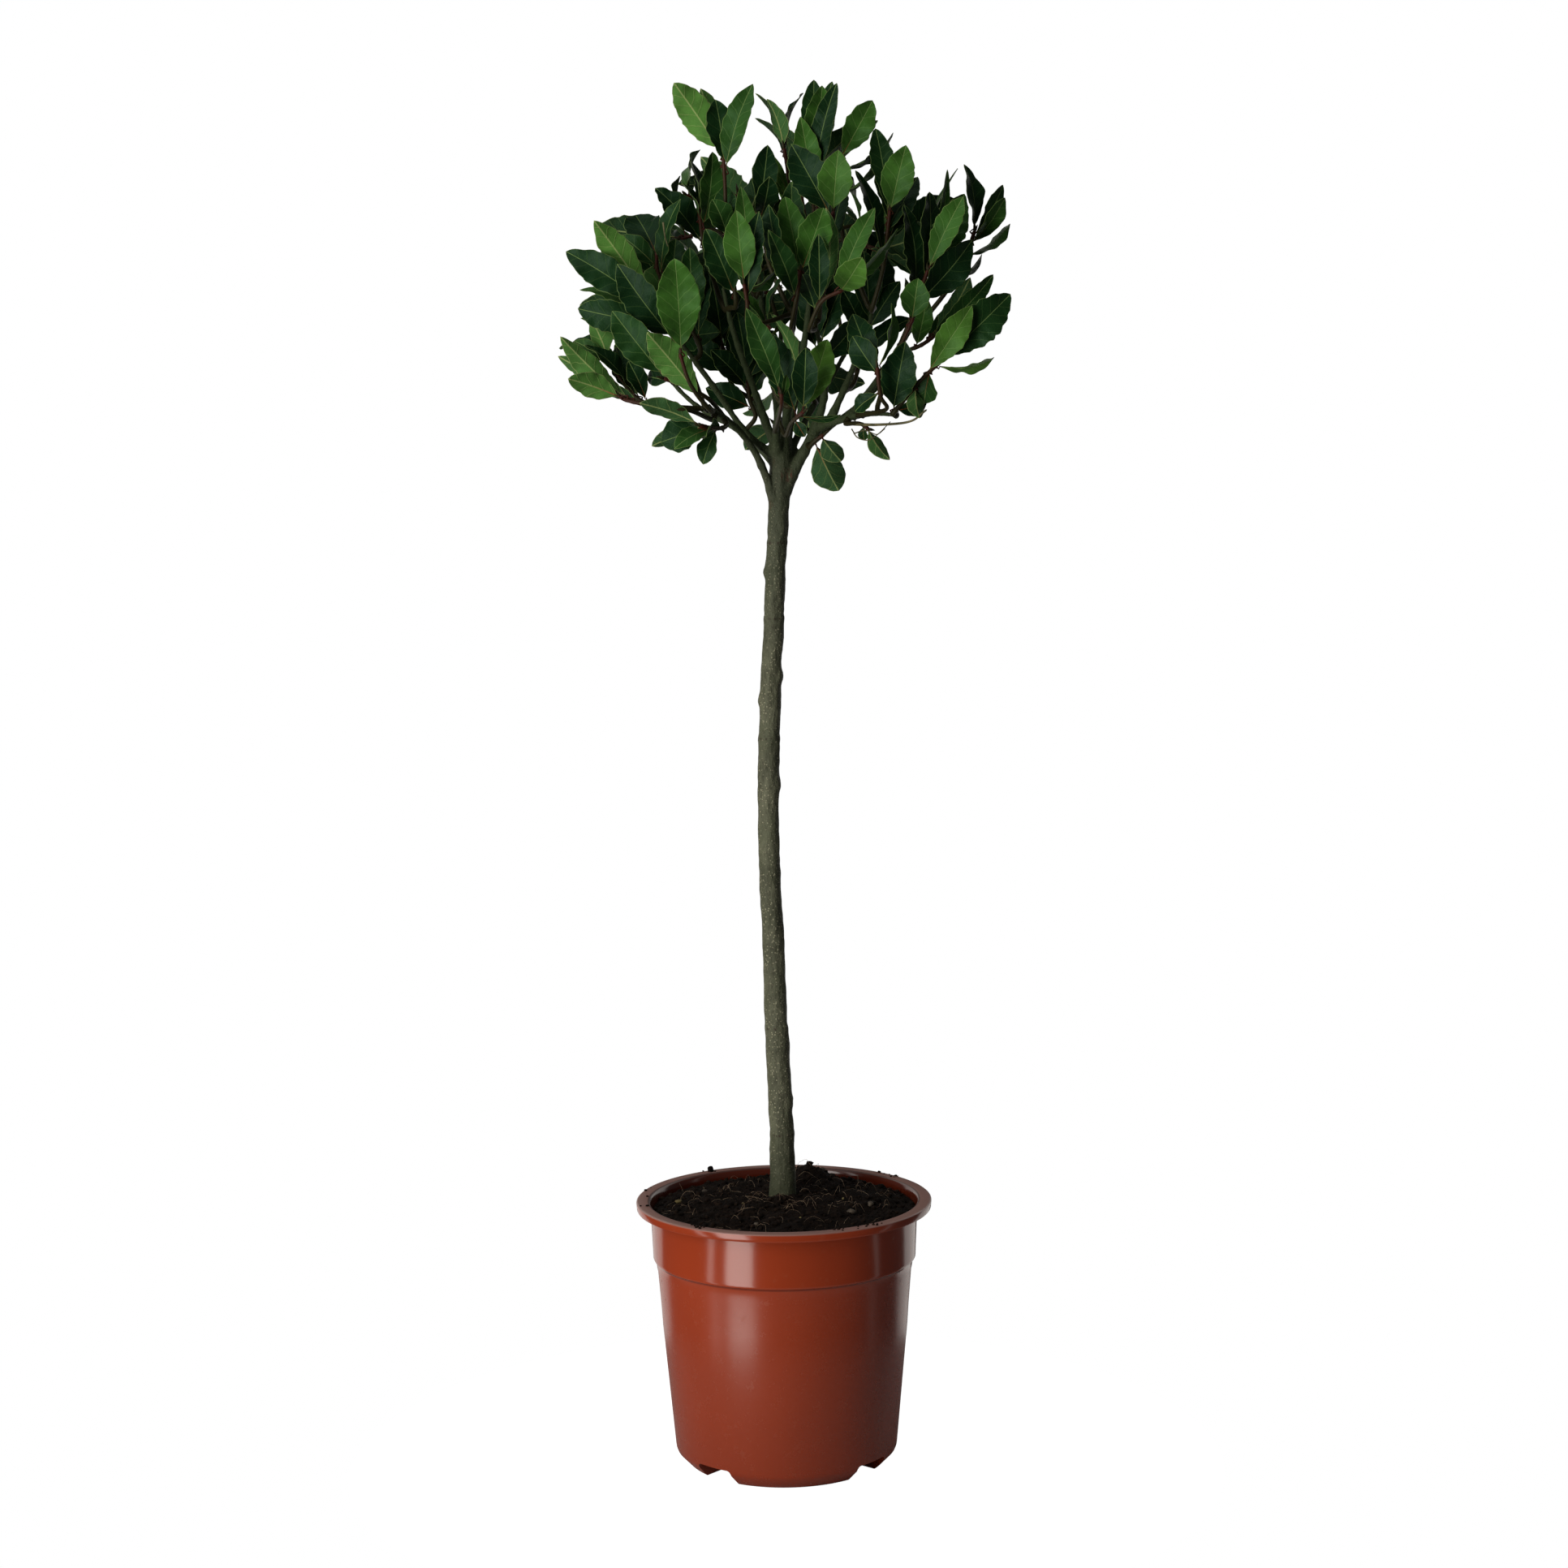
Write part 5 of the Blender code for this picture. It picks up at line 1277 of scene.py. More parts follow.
def scatter_bits(settings):
    """Crumbs, fibres, stones and the few bits that lie on the rim."""
    draw = random.Random(BIT_SEED)
    crumbs, fibres, stones = Skin(), Skin(), Skin()
    for _ in range(settings.crumbs):
        radius = SCATTER_R * math.sqrt(draw.random())
        angle = draw.uniform(0, 2 * math.pi)
        if radius < TRUNK_ROOM:
            continue
        size = CRUMB_LEAST + CRUMB_MORE * draw.random() ** 2.6
        centre = on_soil(radius * math.cos(angle), radius * math.sin(angle), 0.25 * size)
        crumbs.add(*lump(centre, size, 0.7, draw), (draw.uniform(-0.3, 0.55), 0.0, 0.0))
    for bearing, count, reach in RIM_CRUMBS:
        for _ in range(count):
            angle = math.radians(bearing + draw.uniform(-reach, reach))
            radius = draw.uniform(*RIM_RADII)
            size = draw.uniform(0.45, 1.3)
            centre = Vector((radius * math.cos(angle), radius * math.sin(angle), POT_HEIGHT + 0.4 * size))
            crumbs.add(*lump(centre, size, 0.7, draw), (draw.uniform(0.0, 0.7), 0.0, 0.0))
    x, y, size, flat = RIM_CHUNK
    crumbs.add(*lump(Vector((x, y, POT_HEIGHT + 0.6 * size)), size, flat, draw, 2), (-0.3, 0.0, 0.0))
    for _ in range(settings.fibres):
        radius = draw.uniform(*FIBRE_RADII)
        angle = draw.uniform(0, 2 * math.pi)
        x, y = radius * math.cos(angle), radius * math.sin(angle)
        heading = draw.uniform(0, 2 * math.pi)
        turn = draw.uniform(-0.3, 0.3)
        path = []
        lift = FIBRE_LIFT * draw.random() ** 1.6
        count = draw.randint(4, 9)
        for step in range(count):
            if not TRUNK_ROOM + 0.5 <= math.hypot(x, y) <= FIBRE_RADII[1] + 2.0:
                break
            path.append(on_soil(x, y, 0.2 + lift * math.sin(math.pi * step / (count - 1))))
            heading += turn + draw.uniform(-0.12, 0.12)
            x, y = x + 2.0 * math.cos(heading), y + 2.0 * math.sin(heading)
        if len(path) > 2:
            thick = draw.uniform(*FIBRE_THICK)
            fine = smooth_path(path, 1.4)
            fibres.add(*pipe(fine, [thick] * len(fine), 6, blunt=True), (draw.random(), 0.0, 0.0))
    for x, y, size, flat in STONES:
        stones.add(*lump(on_soil(x, y, 0.35 * size), size, flat, draw, 2))
    return crumbs, fibres, stones


def loose_grains():
    """A few straw-coloured grains on the peat."""
    draw = random.Random(GRAIN_SEED)
    grains = Skin()
    for x, y, size, flat in GRAINS:
        grains.add(*lump(on_soil(x, y, 0.5 * size), size, flat, draw, 2))
    return grains


# Colours and materials


# Settings of the nodes that stand most often: a smooth step between limits, and a mix of colours
STEP = {"kind": "MapRange", "interpolation_type": "SMOOTHSTEP"}
BLEND = {"kind": "Mix", "data_type": "RGBA"}


def linear(code):
    """An sRGB hex colour as linear red, green, blue and alpha."""
    parts = [int(code[start:start + 2], 16) / 255.0 for start in (1, 3, 5)]
    return (*[part / 12.92 if part <= 0.04045 else ((part + 0.055) / 1.055) ** 2.4 for part in parts], 1.0)


def feed(tree, socket, value):
    """Gives an input its value, or the socket that feeds it; a hex code is a colour."""
    if isinstance(value, bpy.types.NodeSocket):
        tree.links.new(value, socket)
    else:
        socket.default_value = linear(value) if isinstance(value, str) else value


def add_node(tree, *inputs, kind, output=None, named=(), stops=(), **settings):
    """Adds a node with its settings and links, its inputs in their order or by name; gives an output."""
    node = tree.nodes.new("ShaderNode" + kind)
    for name, value in settings.items():
        setattr(node, name, value)
    if stops:
        elements = node.color_ramp.elements
        while len(elements) < len(stops):
            elements.new(1.0)
        for element, (place, code) in zip(elements, stops):
            element.position, element.color = place, linear(code)
    for socket, value in zip([socket for socket in node.inputs if socket.enabled], inputs):
        feed(tree, socket, value)
    for name, value in named:
        feed(tree, node.inputs[name], value)
    return node.outputs[output] if output else next(socket for socket in node.outputs if socket.enabled)


def new_material(name, roughness, ior=1.5, specular=0.5):
    """A material, its node tree and its shader."""
    material = bpy.data.materials.new(name)
    material.use_nodes = True
    shader = material.node_tree.nodes["Principled BSDF"]
    for title, value in (("Roughness", roughness), ("IOR", ior), ("Specular IOR Level", specular)):
        shader.inputs[title].default_value = value
    return material, material.node_tree, shader


def painted(tree, base, *layers):
    """Colours laid over a base, one after another; each layer is a mask, its share and its colour."""
    for mask, share, colour in layers:
        factor = add_node(tree, mask, share, kind="Math", operation="MULTIPLY")
        base = add_node(tree, factor, base, colour, **BLEND)
    return base


def summed(tree, *terms):
    """The sum of sockets and numbers; a pair is a socket and its weight."""
    total = None
    for term in terms:
        part = add_node(tree, *term, kind="Math", operation="MULTIPLY") if isinstance(term, tuple) else term
        total = part if total is None else add_node(tree, total, part, kind="Math", operation="ADD")
    return total


def relief(tree, shader, *layers):
    """Relief on a shader, layer on layer; each is a height and its depth in millimetres."""
    normal = None
    for height, depth_mm in layers:
        named = [("Height", height), ("Distance", depth_mm * MM), ("Strength", 1.0)]
        if normal:
            named.append(("Normal", normal))
        normal = add_node(tree, kind="Bump", named=named)
    feed(tree, shader.inputs["Normal"], normal)


def measures(tree, title):
    """The three measures that the mesh keeps under a title."""
    kept = add_node(tree, kind="Attribute", output="Vector", attribute_name=title)
    return add_node(tree, kept, kind="SeparateXYZ").node.outputs


def grain(tree, size_mm, detail=3.0, stretch=(1.0, 1.0, 1.0), roughness=0.55, limits=None):
    """Noise in lumps of about a size in millimetres, stretched along each axis, and cut off at limits."""
    place = add_node(tree, kind="TexCoord", output="Object")
    mapped = add_node(tree, kind="Mapping", named=(("Vector", place), ("Scale", stretch)))
    size = (("Vector", mapped), ("Scale", 1.0 / (size_mm * MM)))
    named = (*size, ("Detail", detail), ("Roughness", roughness))
    lumps = add_node(tree, kind="TexNoise", output="Fac", named=named)
    return add_node(tree, lumps, *limits, **STEP) if limits else lumps


def cells(tree, size_mm, low, high, feature="F1"):
    """Cells of about a size in millimetres: 1 at their middles or their edges, and 0 further off."""
    place = add_node(tree, kind="TexCoord", output="Object")
    named = (("Vector", place), ("Scale", 1.0 / (size_mm * MM)))
    distance = add_node(tree, kind="TexVoronoi", output="Distance", named=named, feature=feature)
    return add_node(tree, distance, low, high, 1.0, 0.0, **STEP)


def leaf_places(tree):
    """Millimetres along the blade, off the midrib and in from the margin, then its tone and redness."""
    along, across, inward = measures(tree, "blade")
    tone, _, red = measures(tree, "look")
    return along, add_node(tree, across, kind="Math", operation="ABSOLUTE"), inward, tone, red


def leaf_veins(tree, along, off):
    """Side veins that leave the midrib at a slant, as far apart as on a real blade, 0 to 1."""
    curve = add_node(tree, off, VEIN_CURVE, kind="Math", operation="POWER")
    slant = add_node(tree, curve, VEIN_SLANT, kind="Math", operation="MULTIPLY")
    place = add_node(tree, along, slant, kind="Math", operation="SUBTRACT")
    place = summed(tree, place, (grain(tree, 9.0, 1.0), 5.0))
    away = add_node(tree, place, VEIN_SPACING / 2, kind="Math", operation="PINGPONG")
    return add_node(tree, away, 0.12, 0.55, 1.0, 0.0, **STEP)


def bay_leaf_upper(colours):
    """Bay leaf, upper side: waxy, so it shows a soft sheen; sunk veins, a pale midrib and margin, and
    painted shade that darkens the blade towards its stalk.
    """
    material, tree, shader = new_material("bay_leaf_upper", 0.36, 1.45, 0.26)
    feed(tree, shader.inputs["Specular Tint"], LEAF_SHEEN)
    along, off, inward, tone, red = leaf_places(tree)
    blade = painted(
        tree, add_node(tree, tone, kind="ValToRGB", stops=colours),
        # Painted shade: each blade darker towards its stalk
        (add_node(tree, along, 4.0, 34.0, 1.0, 0.0, **STEP), 0.35, "#0f2411"),
        (grain(tree, 12.0, 2.0, limits=(0.35, 0.7)), 0.28, "#0a1c0a"),
    )
    net, veins = cells(tree, 1.5, 0.0, 0.12, "DISTANCE_TO_EDGE"), leaf_veins(tree, along, off)
    pale = add_node(tree, 0.45, blade, "#7ca358", **BLEND)
    clear = add_node(tree, tone, 0.2, 0.9, 0.18, 0.55, **STEP)
    rib = add_node(tree, off, 0.18, 0.42, 1.0, 0.0, **STEP)
    rib_foot = add_node(tree, along, 5.0, 22.0, 1.0, 0.0, **STEP)
    rib_green = add_node(tree, 0.45, pale, "#8fa765", **BLEND)
    rib_colour = painted(tree, rib_green, (rib_foot, red, "#7a3a22"))
    blade = painted(tree, blade, (net, 0.06, pale), (veins, clear, pale), (rib, 0.75, rib_colour))
    edge = add_node(tree, inward, 0.2, 0.45, 1.0, 0.0, **STEP)
    margin = add_node(tree, 0.6, blade, "#94ac60", **BLEND)
    feed(tree, shader.inputs["Base Color"], painted(tree, blade, (edge, 0.65, margin)))
    feed(tree, shader.inputs["Roughness"], summed(tree, (grain(tree, 3.0, 2.0), 0.16), 0.27, (tone, 0.08)))
    sunk = summed(tree, (veins, 0.45), (net, 0.15), (rib, 1.2))
    height = add_node(tree, 1.0, sunk, kind="Math", operation="SUBTRACT")
    relief(tree, shader, (height, 0.16), (grain(tree, 5.0, 3.0), 0.35))
    return material


def bay_leaf_under(colours):
    """Bay leaf, underside: paler and duller than the upper side, its veins and midrib standing out."""
    material, tree, shader = new_material("bay_leaf_under", 0.55, 1.45, 0.2)
    feed(tree, shader.inputs["Specular Tint"], LEAF_SHEEN)
    along, off, inward, tone, red = leaf_places(tree)
    blade = add_node(tree, tone, kind="ValToRGB", stops=colours)
    blade = painted(tree, blade, (grain(tree, 10.0, 2.0, limits=(0.35, 0.7)), 0.3, "#2c4220"))
    net, veins = cells(tree, 1.3, 0.0, 0.12, "DISTANCE_TO_EDGE"), leaf_veins(tree, along, off)
    pale = add_node(tree, 0.55, blade, "#9fb86c", **BLEND)
    clear = add_node(tree, tone, 0.2, 0.9, 0.3, 0.6, **STEP)
    rib = add_node(tree, off, 0.3, 0.6, 1.0, 0.0, **STEP)
    rib_foot = add_node(tree, along, 2.0, 30.0, 1.0, 0.0, **STEP)
    rib_green = add_node(tree, 0.4, pale, "#b6bf80", **BLEND)
    rib_colour = painted(tree, rib_green, (rib_foot, red, "#8a4630"))
    edge = add_node(tree, inward, 0.22, 0.5, 1.0, 0.0, **STEP)
    blade = painted(
        tree, blade, (net, 0.15, pale), (veins, clear, pale), (rib, 0.9, rib_colour), (edge, 0.5, "#aab277")
    )
    feed(tree, shader.inputs["Base Color"], blade)
    relief(tree, shader, (summed(tree, (veins, 0.8), (net, 0.2)), 0.18))
    return material


def young_shoot(colours):
    """Green wood of this year: smooth skin, red-brown on leaf stalks, olive on older twigs."""
    material, tree, shader = new_material("young_shoot", 0.45, 1.45, 0.22)
    skin = painted(
        tree, add_node(tree, measures(tree, "look")["X"], kind="ValToRGB", stops=colours),
        (cells(tree, 1.6, 0.12, 0.22), 0.15, "#7a6a4a"),
        (grain(tree, 4.0), 0.3, "#26190f"),
    )
    feed(tree, shader.inputs["Base Color"], skin)
    relief(tree, shader, (grain(tree, 1.2, 2.0, (1.0, 1.0, 0.4)), 0.12))
    return material


def laurel_bark(dark, light):
    """Young laurel bark: grey-olive and thin, with pale specks, flat breathing pores and dark rings."""
    material, tree, shader = new_material("laurel_bark", 0.72, 1.4)
    place = add_node(tree, kind="TexCoord", output="Object")
    height = add_node(tree, place, kind="SeparateXYZ", output="Z")
    tone = grain(tree, 14.0, 4.0, (1.0, 1.0, 0.45), limits=(0.32, 0.68, 0.25, 0.7))
    fine = grain(tree, 1.6, 3.0, (1.0, 1.0, 0.35), limits=(0.42, 0.72))
    pores = grain(tree, 1.5, 1.0, (0.8, 0.8, 2.6), limits=(0.62, 0.7))
    streaks = grain(tree, 6.0, 2.0, (1.0, 1.0, 0.14), limits=(0.38, 0.54))
    specks = cells(tree, 2.2, 0.18, 0.34)
    layers = [
        (fine, 0.45, "#2b281d"),
        (grain(tree, 30.0, 2.0, limits=(0.45, 0.7)), 0.25, "#3f4a2c"),
        (pores, 0.7, "#938e78"),
        (add_node(tree, specks, streaks, kind="Math", operation="MULTIPLY"), 0.85, "#a5a388"),
        (add_node(tree, height, *GREENER_TOP, **STEP), 0.5, "#2d3a25"),
        (add_node(tree, height, *YOUNG_WOOD, **STEP), 0.8, "#334420"),
    ]
    for *spot, reach in LIMB_SCARS:
        away = add_node(tree, place, Vector(spot) * MM, kind="VectorMath", operation="DISTANCE")
        scar = add_node(tree, away, 0.45 * reach * MM, 1.2 * reach * MM, 0.9, 0.0, **STEP)
        layers.append((scar, fine, "#5a3626"))
    for scar in RING_SCARS:
        gap = add_node(tree, height, scar * MM, kind="Math", operation="SUBTRACT")
        gap = add_node(tree, gap, kind="Math", operation="ABSOLUTE")
        layers.append((add_node(tree, gap, 0.3 * MM, 1.4 * MM, 0.9, 0.0, **STEP), fine, "#33241a"))
    layers.append((add_node(tree, height, *DAMP_FOOT, 1.0, 0.0, **STEP), 0.7, "#363d26"))
    skin = painted(tree, add_node(tree, tone, dark, light, **BLEND), *layers)
    feed(tree, shader.inputs["Base Color"], skin)
    pitted = summed(tree, pores, specks)
    relief(tree, shader, (grain(tree, 2.2, 4.0, (1.0, 1.0, 0.4)), 0.8), (pitted, 0.2))
    return material


def moulded_plastic(colour, dark):
    """Moulded polypropylene: smooth and half glossy, with faint flow marks, scuffs and dust.

    Painted shade darkens the inside wall and a line under the band's step; the lip's top is painted
    lighter, partly wear and partly a painted sheen.
    """
    material, tree, shader = new_material("moulded_polypropylene", 0.2, 1.49, 0.68)
    place = add_node(tree, kind="TexCoord", output="Object")
    height = add_node(tree, place, kind="SeparateXYZ", output="Z")
    scuffs = grain(tree, 9.0, 6.0, roughness=0.75, limits=(0.55, 0.8))
    # The lip's top is painted lighter and greyer, partly wear and partly a painted sheen; it is also rougher
    worn_and_sheen = add_node(tree, height, *WORN_AND_SHEEN_LIP, **STEP)
    # Painted shade: a dark line just under the band's step, where the ledge would shade the wall
    painted_shade_line = (add_node(tree, height, *SHADE_LINE_FOOT, **STEP), add_node(tree, height, *SHADE_LINE_TOP, 1.0, 0.0, **STEP))
    # Painted shade inside the pot: the wall that faces inward is darkened above a height
    facing = add_node(tree, kind="TexCoord", output="Normal")
    level = add_node(tree, place, (1.0, 1.0, 0.0), kind="VectorMath", operation="MULTIPLY")
    out = add_node(tree, level, facing, kind="VectorMath", operation="DOT_PRODUCT")
    inner = (add_node(tree, out, -0.015, -0.04, **STEP), add_node(tree, height, *PAINTED_SHADE_INSIDE, **STEP))
    skin = painted(
        tree, colour,
        (grain(tree, 60.0, 2.0, (1.0, 1.0, 0.5), limits=(0.3, 0.7)), 0.25, dark),
        (scuffs, 0.12, "#b07a5c"),
        (cells(tree, 6.5, 0.015, 0.04), 0.3, "#c9a898"),
        (worn_and_sheen, 0.75, "#a4887f"),
        (add_node(tree, *painted_shade_line, kind="Math", operation="MULTIPLY"), 0.5, "#3a140c"),
        (add_node(tree, *inner, kind="Math", operation="MULTIPLY"), 0.75, "#2a100b"),
    )
    feed(tree, shader.inputs["Base Color"], skin)
    satin = add_node(tree, height, *SATIN_STEP, 0.26, 0.155, **STEP)
    feed(tree, shader.inputs["Roughness"], summed(tree, (scuffs, 0.18), satin, (worn_and_sheen, 0.25)))
    relief(tree, shader, (grain(tree, 30.0, 1.0), 0.12), (grain(tree, 0.9, 2.0), 0.01))
    return material


def damp_peat(dark, light):
    """Damp peat: near black and matt, crumbly, with brown fibre worked into it."""
    material, tree, shader = new_material("damp_peat", 0.95, 1.33, 0.25)
    tone = grain(tree, 3.5, 4.0, limits=(0.35, 0.72))
    tone = add_node(tree, tone, 0.5, kind="Math", operation="MULTIPLY")
    own = measures(tree, "look")["X"]
    tone = add_node(tree, tone, own, kind="Math", operation="ADD", use_clamp=True)
    feed(tree, shader.inputs["Base Color"], add_node(tree, tone, dark, light, **BLEND))
    relief(tree, shader, (grain(tree, 2.4, 5.0), 1.4), (grain(tree, 0.7, 2.0), 0.3))
    return material


def plain_material(name, colour, spot, size_mm, roughness):
    """A rough natural bit, such as a stone or a root, mottled at a size in millimetres."""
    material, tree, shader = new_material(name, roughness)
    mottle = grain(tree, size_mm, 4.0, limits=(0.35, 0.7))
    feed(tree, shader.inputs["Base Color"], add_node(tree, mottle, colour, spot, **BLEND))
    relief(tree, shader, (grain(tree, size_mm * 0.5, 3.0), 0.2))
    return material


# Studio


def flat_panel(name, size, place, aim, power, colour):
    """A soft light of a size in metres that looks at a point."""
    lamp = bpy.data.lights.new(name, "AREA")
    lamp.shape = "RECTANGLE"
    lamp.size, lamp.size_y = size
    lamp.energy = power
    lamp.color = linear(colour)[:3]
    panel = linked(name, lamp)
    panel.location = place
    panel.rotation_euler = (Vector(aim) - Vector(place)).to_track_quat("-Z", "Y").to_euler()


def seen_and_lit(tree, lights, sight):
    """A shader that lights things as one does, and that the camera sees as another."""
    ray = add_node(tree, kind="LightPath", output="Is Camera Ray")
    return add_node(tree, ray, lights, sight, kind="MixShader")


def studio_floor(colour, radius):
    """A round floor of matt pale grey paper, with a glow for the camera that takes it to white."""
    mesh = bpy.data.meshes.new("studio_floor")
    work = bmesh.new()
    bmesh.ops.create_circle(work, cap_ends=True, radius=radius, segments=96)
    work.to_mesh(mesh)
    work.free()
    floor = linked("studio_floor", mesh)
    material, tree, shader = new_material("white_paper", 0.95, 1.4, 0.1)
    feed(tree, shader.inputs["Base Color"], colour)
    mesh.materials.append(material)
    glow = add_node(tree, "#ffffff", FLOOR_GLOW, kind="Emission")
    both = add_node(tree, shader.outputs[0], glow, kind="AddShader")
    feed(tree, tree.nodes["Material Output"].inputs["Surface"], seen_and_lit(tree, shader.outputs[0], both))


# Settings


class LaurelLeafSettings(bpy.types.PropertyGroup):
    """Leaf colours from the darkest to the palest: the dark end is aged leaves and painted shade on leaves
    deep in the head, the pale end young leaves.
    """

    # The two darkest colours stand for aged leaves and also carry painted shade for leaves deep in the head
    oldest_and_shaded: bpy.props.StringProperty(
        name="Oldest", description="Colour of the darkest old leaves", default="#0e2413")
    old_and_shaded: bpy.props.StringProperty(name="Old", description="Colour of old leaves", default="#143218")
    grown: bpy.props.StringProperty(name="Grown", description="Colour of grown leaves", default="#23471d")
    young: bpy.props.StringProperty(name="Young", description="Colour of young leaves", default="#416f29")
    youngest: bpy.props.StringProperty(
        name="Youngest", description="Colour of the palest leaves", default="#639338")
    under_dark: bpy.props.StringProperty(
        name="Dark underside", description="Undersides of old leaves", default="#1d3626")
    under_grown: bpy.props.StringProperty(
        name="Underside", description="Undersides of grown leaves", default="#355a36")
    under_pale: bpy.props.StringProperty(
        name="Pale underside", description="Undersides of young leaves", default="#578a3a")


class LaurelWoodSettings(bpy.types.PropertyGroup):
    """Colours of the bark and of the young shoots."""

    bark_dark: bpy.props.StringProperty(
        name="Dark bark", description="Damp and shaded bark", default="#3d4130")
    bark_light: bpy.props.StringProperty(
        name="Light bark", description="Dry grey bark", default="#7d7f67")
    twig: bpy.props.StringProperty(name="Twig", description="Older twigs", default="#303219")
    shoot: bpy.props.StringProperty(name="Shoot", description="Green young twigs", default="#33301a")
    stalk: bpy.props.StringProperty(name="Stalk", description="Red-brown leaf stalks", default="#4a1d15")


class LaurelPotSettings(bpy.types.PropertyGroup):
    """Colours of the pot and the soil, and what lies on the soil."""

    plastic: bpy.props.StringProperty(name="Pot", description="Red-brown of the pot", default="#a43e1e")
    plastic_dark: bpy.props.StringProperty(
        name="Pot, darker", description="Darker streaks", default="#8a3115")
    peat: bpy.props.StringProperty(name="Peat", description="Damp peat", default="#130e0b")
    peat_dry: bpy.props.StringProperty(name="Dry peat", description="Drier crumbs", default="#2e221a")
    crumbs: bpy.props.IntProperty(
        name="Crumbs", description="How many crumbs lie on the soil", default=1100, min=0)
    fibres: bpy.props.IntProperty(
        name="Fibres", description="How many fibres lie on the soil", default=150, min=0)


class LaurelStudioSettings(bpy.types.PropertyGroup):
    """The studio around the plant."""

    paper: bpy.props.StringProperty(name="Backdrop", description="Colour of the paper", default="#c4c4c4")
    key: bpy.props.FloatProperty(
        name="Key", description="Wide light, front left", default=38.0, unit="POWER")
    edge: bpy.props.FloatProperty(
        name="Edge", description="Narrow light, far left", default=5.0, unit="POWER")
    rim: bpy.props.FloatProperty(name="Rim", description="Narrow light, right", default=0.8, unit="POWER")
    top: bpy.props.FloatProperty(name="Top", description="Soft light overhead", default=7.5, unit="POWER")
    back: bpy.props.FloatProperty(name="Back", description="Wide light behind", default=9.0, unit="POWER")
    around: bpy.props.FloatProperty(
        name="Around", description="Strength of the light all round", default=0.05)
    floor: bpy.props.FloatProperty(name="Floor", description="Radius of the round floor", default=0.325,
                                   unit="LENGTH", subtype="DISTANCE")
    distance: bpy.props.FloatProperty(
        name="Camera distance", description="From the pot's axis to the camera",
                                      default=2.0, unit="LENGTH", subtype="DISTANCE")


SETTINGS = {
    "laurel_leaves": LaurelLeafSettings,
    "laurel_wood": LaurelWoodSettings,
    "laurel_pot": LaurelPotSettings,
    "laurel_studio": LaurelStudioSettings,
}


# Operators


class LAUREL_OT_trunk(bpy.types.Operator):
    """Builds the trunk with its knots, and the limbs that grow out of it"""

    bl_idname = "laurel.trunk"
    bl_label = "Trunk and limbs"

    def execute(self, context):
        wood = context.scene.laurel_wood
        trunk = fine_trunk()
        trunk.data.materials.append(laurel_bark(wood.bark_dark, wood.bark_light))
        hand_over(trunk, "bark", "trunk")
        dead = plain_material("dead_stalk", "#4a4a2c", "#7c7450", 6.0, 0.75)
        hand_over(bare_bits().build("dead_stalks", [dead]), "bark")
        return {"FINISHED"}


class LAUREL_OT_sprays(bpy.types.Operator):
    """Builds every leafy spray: its twig, leaf stalks and leaves"""

    bl_idname = "laurel.sprays"
    bl_label = "Leafy sprays"

    def execute(self, context):
        leaves, wood = context.scene.laurel_leaves, context.scene.laurel_wood
        greens = (leaves.oldest_and_shaded, leaves.old_and_shaded, leaves.grown, leaves.young, leaves.youngest)
        stops = [(index / 4, code) for index, code in enumerate(greens)]
        under = [(0.0, leaves.under_dark), (0.5, leaves.under_grown), (1.0, leaves.under_pale)]
        wood_stops = [(0.0, wood.twig), (0.55, wood.shoot), (0.75, wood.stalk), (1.0, wood.stalk)]
        materials = (bay_leaf_upper(stops), bay_leaf_under(under), young_shoot(wood_stops))
        for name, twig, placed in plan_crown():
            draw = random.Random(name)
            skin = Skin()
            add_twig(skin, twig, placed, draw)
            for leaf in placed:
                add_leaf(skin, leaf, draw)
            hand_over(skin.build("leafy_" + name, materials), "leaf", "spray_" + name)
        return {"FINISHED"}


class LAUREL_OT_pot(bpy.types.Operator):
    """Builds the pot with its rolled lip, hollow feet and drain holes"""

    bl_idname = "laurel.pot"
    bl_label = "Pot"

    def execute(self, context):
        settings = context.scene.laurel_pot
        pot = fine_pot()
        pot.data.materials.clear()
        pot.data.materials.append(moulded_plastic(settings.plastic, settings.plastic_dark))
        hand_over(pot, "pot_plastic", "pot")
        return {"FINISHED"}


class LAUREL_OT_soil(bpy.types.Operator):
    """Builds the peat with its crumbs, fibres and stones, and the crumbs on the rim"""

    bl_idname = "laurel.soil"
    bl_label = "Soil"

    def execute(self, context):
        settings = context.scene.laurel_pot
        peat = damp_peat(settings.peat, settings.peat_dry)
        hand_over(fine_soil().build("peat", [peat]), "potting_soil", "soil")
        crumbs, fibres, stones = scatter_bits(settings)
        hand_over(crumbs.build("peat_crumbs", [peat]), "potting_soil")
        fibre = plain_material("coir_fibre", "#6b5442", "#b39c80", 5.0, 0.8)
        hand_over(fibres.build("peat_fibres", [fibre]), "potting_soil")
        straw = plain_material("straw_grain", "#6e6038", "#9c8c58", 2.0, 0.7)
        hand_over(loose_grains().build("straw_grains", [straw]), "potting_soil")
        stone = plain_material("grey_pebble", "#433a30", "#6a5f50", 3.0, 0.7)
        hand_over(stones.build("pebbles", [stone]), "potting_soil")
        return {"FINISHED"}


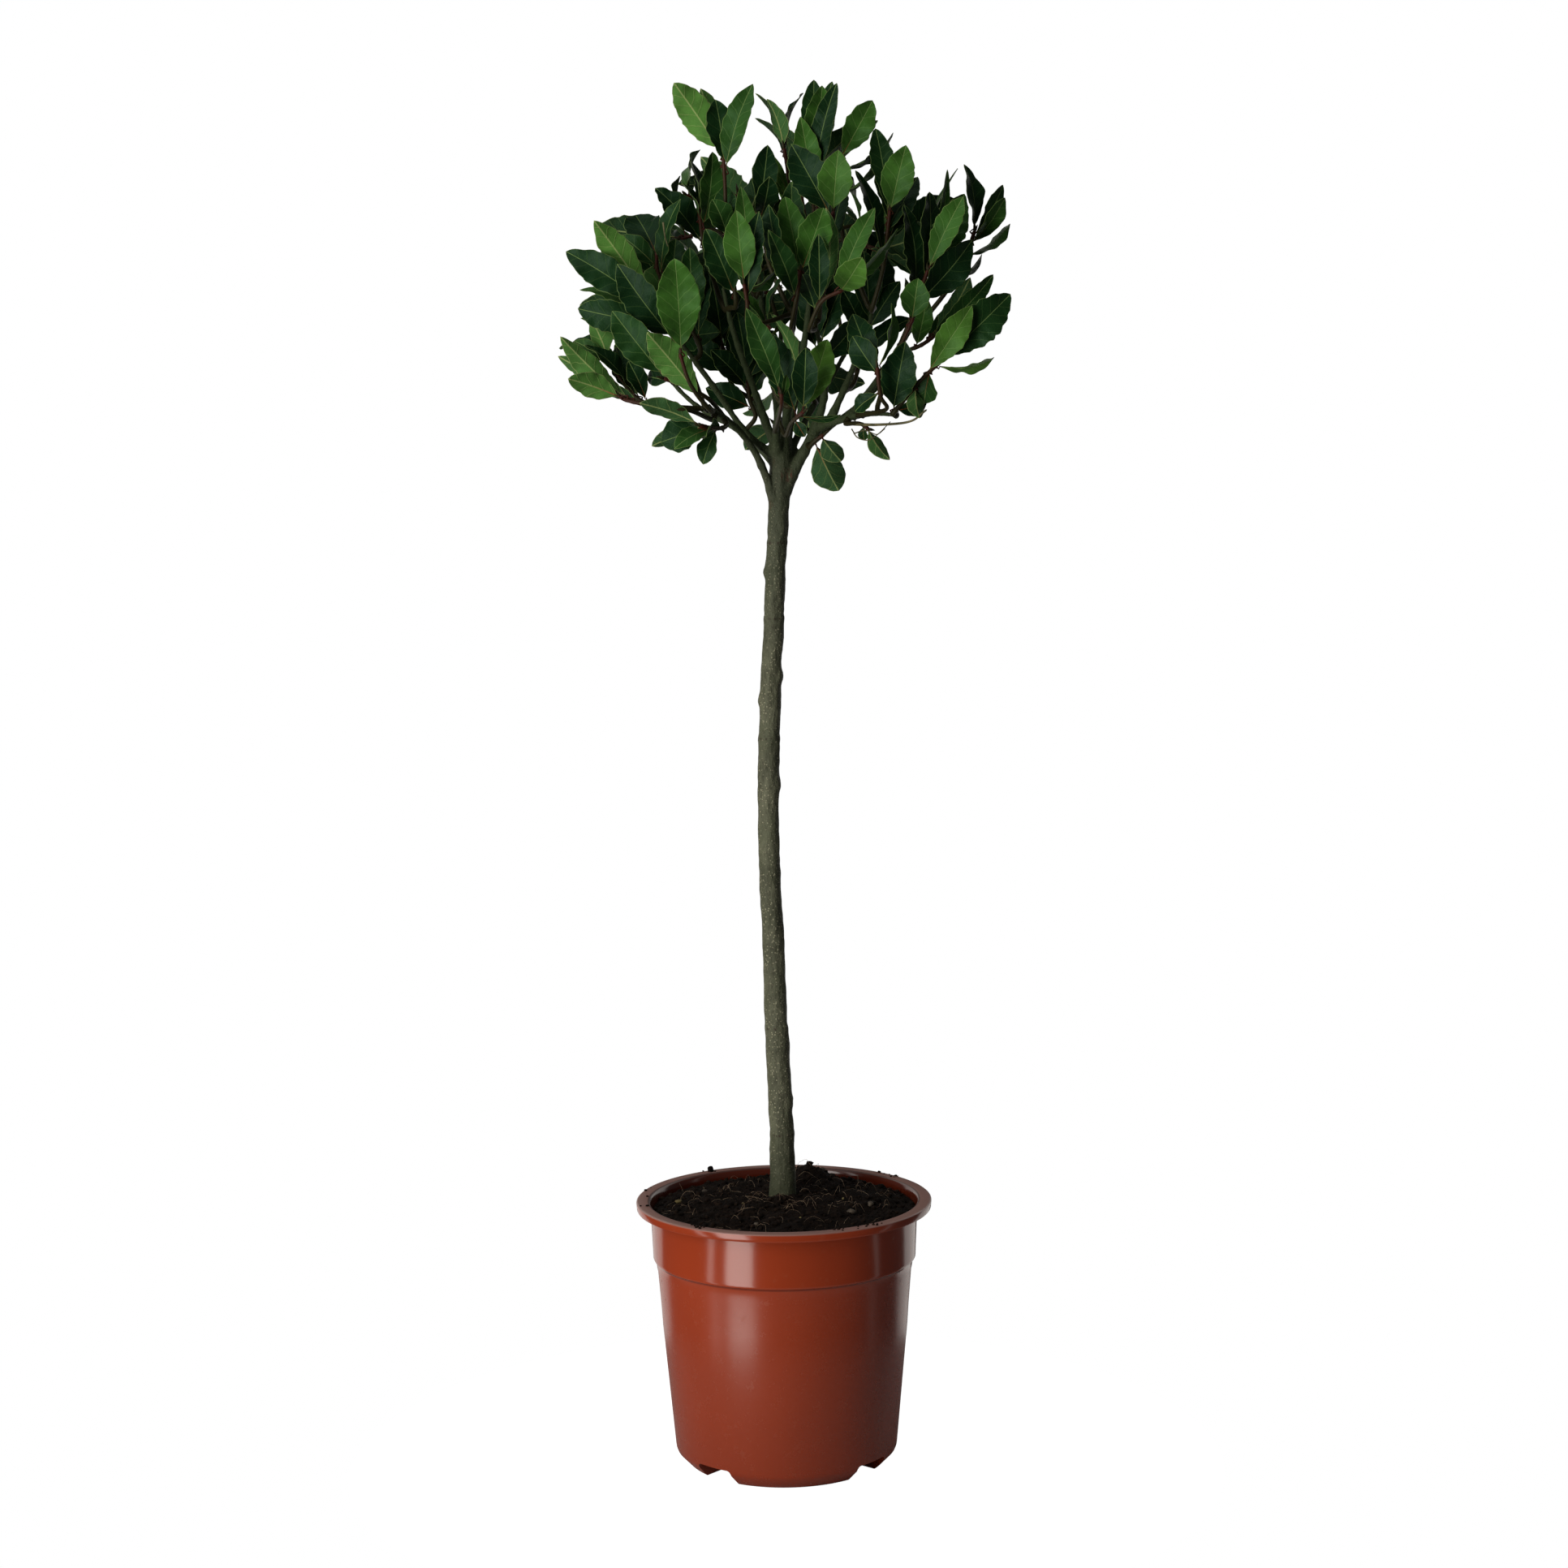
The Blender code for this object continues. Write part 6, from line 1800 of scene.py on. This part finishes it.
class LAUREL_OT_studio(bpy.types.Operator):
    """Sets the pale floor, the soft lights and the camera"""

    bl_idname = "laurel.studio"
    bl_label = "Studio"

    def execute(self, context):
        settings = context.scene.laurel_studio
        studio_floor(settings.paper, settings.floor)
        for name, bearing, width, setting in LIGHTS:
            turn = math.radians(bearing)
            place = Vector((math.sin(turn), -math.cos(turn), 0.0)) * LIGHT_DISTANCE + LIGHT_AIM
            flat_panel(name, (width, LIGHT_HEIGHT), place, LIGHT_AIM, getattr(settings, setting), "#fffaf4")
        flat_panel("top_light", (2.0, 2.0), TOP_LIGHT_AT, LIGHT_AIM, settings.top, "#ffffff")
        world = bpy.data.worlds.new("pale_studio")
        world.use_nodes = True
        tree = world.node_tree
        soft = tree.nodes["Background"]
        feed(tree, soft.inputs["Color"], "#ffffff")
        feed(tree, soft.inputs["Strength"], settings.around)
        plain = add_node(tree, "#ffffff", kind="Background")
        surface = tree.nodes["World Output"].inputs["Surface"]
        feed(tree, surface, seen_and_lit(tree, soft.outputs[0], plain))
        context.scene.world = world
        context.scene.view_settings.view_transform = "Standard"
        lens = bpy.data.cameras.new("camera")
        lens.lens = CAMERA_LENS
        camera = linked("camera", lens)
        camera.location = (EYE.x * MM, -settings.distance, EYE.z * MM)
        roll = Matrix.Rotation(math.radians(CAMERA_ROLL), 4, "Z")
        camera.rotation_euler = (Matrix.Rotation(math.radians(90.0 - CAMERA_DOWN), 4, "X") @ roll).to_euler()
        context.scene.camera = camera
        return {"FINISHED"}


OPERATORS = (LAUREL_OT_pot, LAUREL_OT_soil, LAUREL_OT_trunk, LAUREL_OT_sprays, LAUREL_OT_studio)


class LAUREL_PT_panel(bpy.types.Panel):
    """Lists the pieces of the laurel"""

    bl_idname = "LAUREL_PT_panel"
    bl_label = "Bay laurel"
    bl_space_type = "VIEW_3D"
    bl_region_type = "UI"
    bl_category = "Laurel"

    def draw(self, context):
        for operator in OPERATORS:
            self.layout.operator(operator.bl_idname)
        for title, group in SETTINGS.items():
            box = self.layout.box()
            for name in group.__annotations__:
                box.prop(getattr(context.scene, title), name)


def register():
    for item in (*SETTINGS.values(), *OPERATORS, LAUREL_PT_panel):
        bpy.utils.register_class(item)
    for title, group in SETTINGS.items():
        setattr(bpy.types.Scene, title, bpy.props.PointerProperty(type=group))


def unregister():
    for title in SETTINGS:
        delattr(bpy.types.Scene, title)
    for item in (LAUREL_PT_panel, *reversed(OPERATORS), *reversed(SETTINGS.values())):
        bpy.utils.unregister_class(item)


def main():
    register()
    bpy.ops.laurel.pot()
    bpy.ops.laurel.soil()
    bpy.ops.laurel.trunk()
    bpy.ops.laurel.sprays()
    bpy.ops.laurel.studio()


if __name__ == "__main__":
    main()
